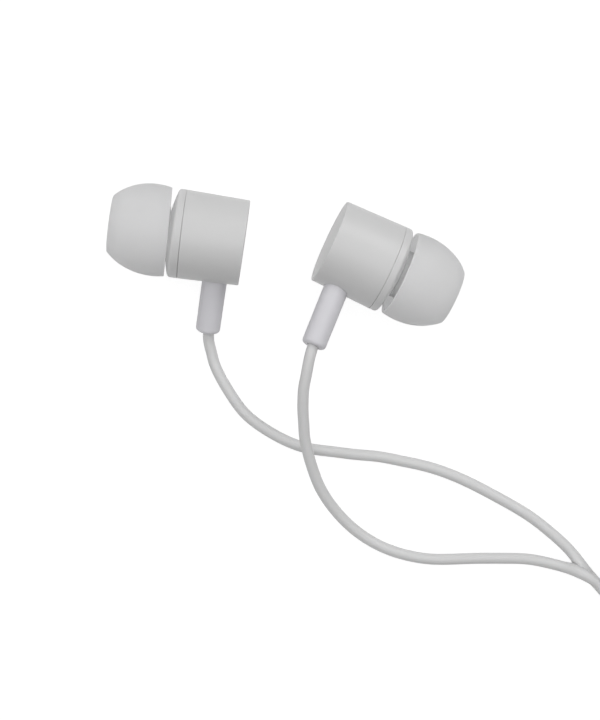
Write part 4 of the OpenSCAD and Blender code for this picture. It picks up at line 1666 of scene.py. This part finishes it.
@dataclass(frozen=True)
class Studio:
    """White table, soft lamps and a camera that looks straight down.

    The camera stands 306 mm over the table, so that near things look larger. sky_level
    is the strength of the even light from all round. The table's card mixes its own
    grey with a glow that only the eye sees: card_glow is the glow's share and
    card_white its strength, which together make plain card white and keep its shadows.
    """

    camera_at: tuple[float, float, float] = (0.002, -0.0126, 0.306)
    lens: float = 112.5
    table_half: float = 1.5
    table_z: float = -0.00003
    sky_level: float = 0.27
    card_grey: str = "#DCDCDC"
    card_glow: float = 0.7
    card_white: float = 1.28
    lamps: tuple[Lamp, ...] = (
        Lamp("key_lamp", (0.36, 0.46, 0.5), 0.4, 1.65),
        Lamp("top_lamp", (0.0, 0.0, 0.9), 0.8, 2.8),
        Lamp("fill_lamp", (-0.4, 0.4, 0.5), 0.4, 0.55),
        Lamp("left_lamp", (-0.55, 0.0, 0.5), 0.4, 0.3),
    )

    def camera(self) -> None:
        """Sets up the camera: straight down, with the top of its view towards +y."""
        data = bpy.data.cameras.new("camera")
        data.lens = self.lens
        data.sensor_width = 36.0
        data.clip_start, data.clip_end = 0.01, 10.0
        camera = bpy.data.objects.new("camera", data)
        bpy.context.scene.collection.objects.link(camera)
        camera.location = self.camera_at
        bpy.context.scene.camera = camera

    def seen_by_eye(self, tree: bpy.types.NodeTree) -> Socket:
        """Tells what the eye sees from what only lights the object.

        Args:
            tree: the tree of a material or the world.

        Returns:
            1 for what the camera sees, straight or by way of gloss or glass, else 0.
        """
        ray = add_node(tree, "ShaderNodeLightPath", {}, {})
        seen = ray.outputs["Is Camera Ray"]
        for kind in ("Is Glossy Ray", "Is Transmission Ray"):
            either = {0: seen, 1: ray.outputs[kind]}
            seen = add_node(tree, "ShaderNodeMath", {"operation": "MAXIMUM"}, either).outputs[0]
        return seen

    def table(self) -> None:
        """Lays the table: it glows for the camera, and its diffuse part holds shadows."""
        mesh = bpy.data.meshes.new("table")
        signs = ((-1, -1), (1, -1), (1, 1), (-1, 1))
        corners = [(x * self.table_half, y * self.table_half, self.table_z) for x, y in signs]
        mesh.from_pydata(corners, [], [(0, 1, 2, 3)])
        material = bpy.data.materials.new("white_card")
        material.use_nodes = True
        tree = material.node_tree
        tree.nodes.clear()
        seen = self.seen_by_eye(tree)
        card = add_node(tree, "ShaderNodeBsdfDiffuse", {"Color": linear(self.card_grey)}, {})
        glow = add_node(tree, "ShaderNodeEmission", {"Strength": self.card_white}, {})
        share = add_node(tree, "ShaderNodeMath", {"operation": "MULTIPLY", 1: self.card_glow}, {0: seen})
        mix = {0: share.outputs[0], 1: card.outputs[0], 2: glow.outputs[0]}
        both = add_node(tree, "ShaderNodeMixShader", {}, mix)
        add_node(tree, "ShaderNodeOutputMaterial", {}, {"Surface": both.outputs[0]})
        mesh.materials.append(material)
        table = bpy.data.objects.new("table", mesh)
        bpy.context.scene.collection.objects.link(table)

    def sky(self) -> None:
        """Even grey light from all round, which the camera sees as white."""
        world = bpy.data.worlds.new("studio")
        world.use_nodes = True
        tree = world.node_tree
        tree.nodes.clear()
        seen = self.seen_by_eye(tree)
        white = linear("#FFFFFF")
        soft, full = (
            add_node(tree, "ShaderNodeBackground", {"Color": white, "Strength": strength}, {})
            for strength in (self.sky_level, 1.0)
        )
        both = add_node(tree, "ShaderNodeMixShader", {}, {0: seen, 1: soft.outputs[0], 2: full.outputs[0]})
        add_node(tree, "ShaderNodeOutputWorld", {}, {"Surface": both.outputs[0]})
        bpy.context.scene.world = world

    def build(self) -> None:
        """Sets up everything that isn't part of the object."""
        self.table()
        self.sky()
        for lamp in self.lamps:
            lamp.build()
        bpy.context.scene.view_settings.view_transform = "Standard"


def main() -> None:
    """Builds the camera and the lead first, then the earpieces, the plug and the studio."""
    logging.basicConfig(level=logging.INFO, format="%(message)s")
    studio = Studio()
    studio.camera()
    wardrobe = Wardrobe()
    left_tip = EarTip(seat=1.82, wide=1.028, rim_tilt=2.5, face_tilt=0.9, rim_pitch=1.9, crown=0.08)
    left_housing = Housing(ajar=0.06, offset=-0.08, slant=-0.17)
    left = Earpiece(
        Side.LEFT,
        Seat((-13.78, 4.22), *on_both_ends(left_tip, left_housing), yaw=171.8, roll=71.3),
        left_tip,
        Sleeve(out=-0.58),
        left_housing,
    )
    right_tip = EarTip(seat=1.83, wide=0.982, out=0.1, rim_tilt=0.8, rim_pitch=-1.0, aside=-0.085)
    right = Earpiece(
        Side.RIGHT,
        Seat((13.55, -0.26), *on_the_tip(right_tip, lean=5.8), yaw=-24.5, roll=-101.5),
        right_tip,
        Sleeve(out=0.33, slant=1.2),
        Housing(ajar=0.02),
    )
    plug = Plug()
    tie = CoilTie()
    on_lead: list[Object | str] = list(plug.build(wardrobe))
    tie_piece = add_piece("coil_tie_strip", tie.surface(), wardrobe[Finish.TIE], "earphones")
    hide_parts("coil_tie")
    on_lead.append(tie_piece)
    TwinLead(
        Strand(Side.LEFT, Lay.LOWER, LEFT_ROUTE, left.sleeve.mouth(left.seat)),
        Strand(Side.RIGHT, Lay.UPPER, RIGHT_ROUTE, right.sleeve.mouth(right.seat)),
    ).build(wardrobe, on_lead)
    left.build(wardrobe)
    right.build(wardrobe)
    studio.build()


if __name__ == "__main__":
    main()
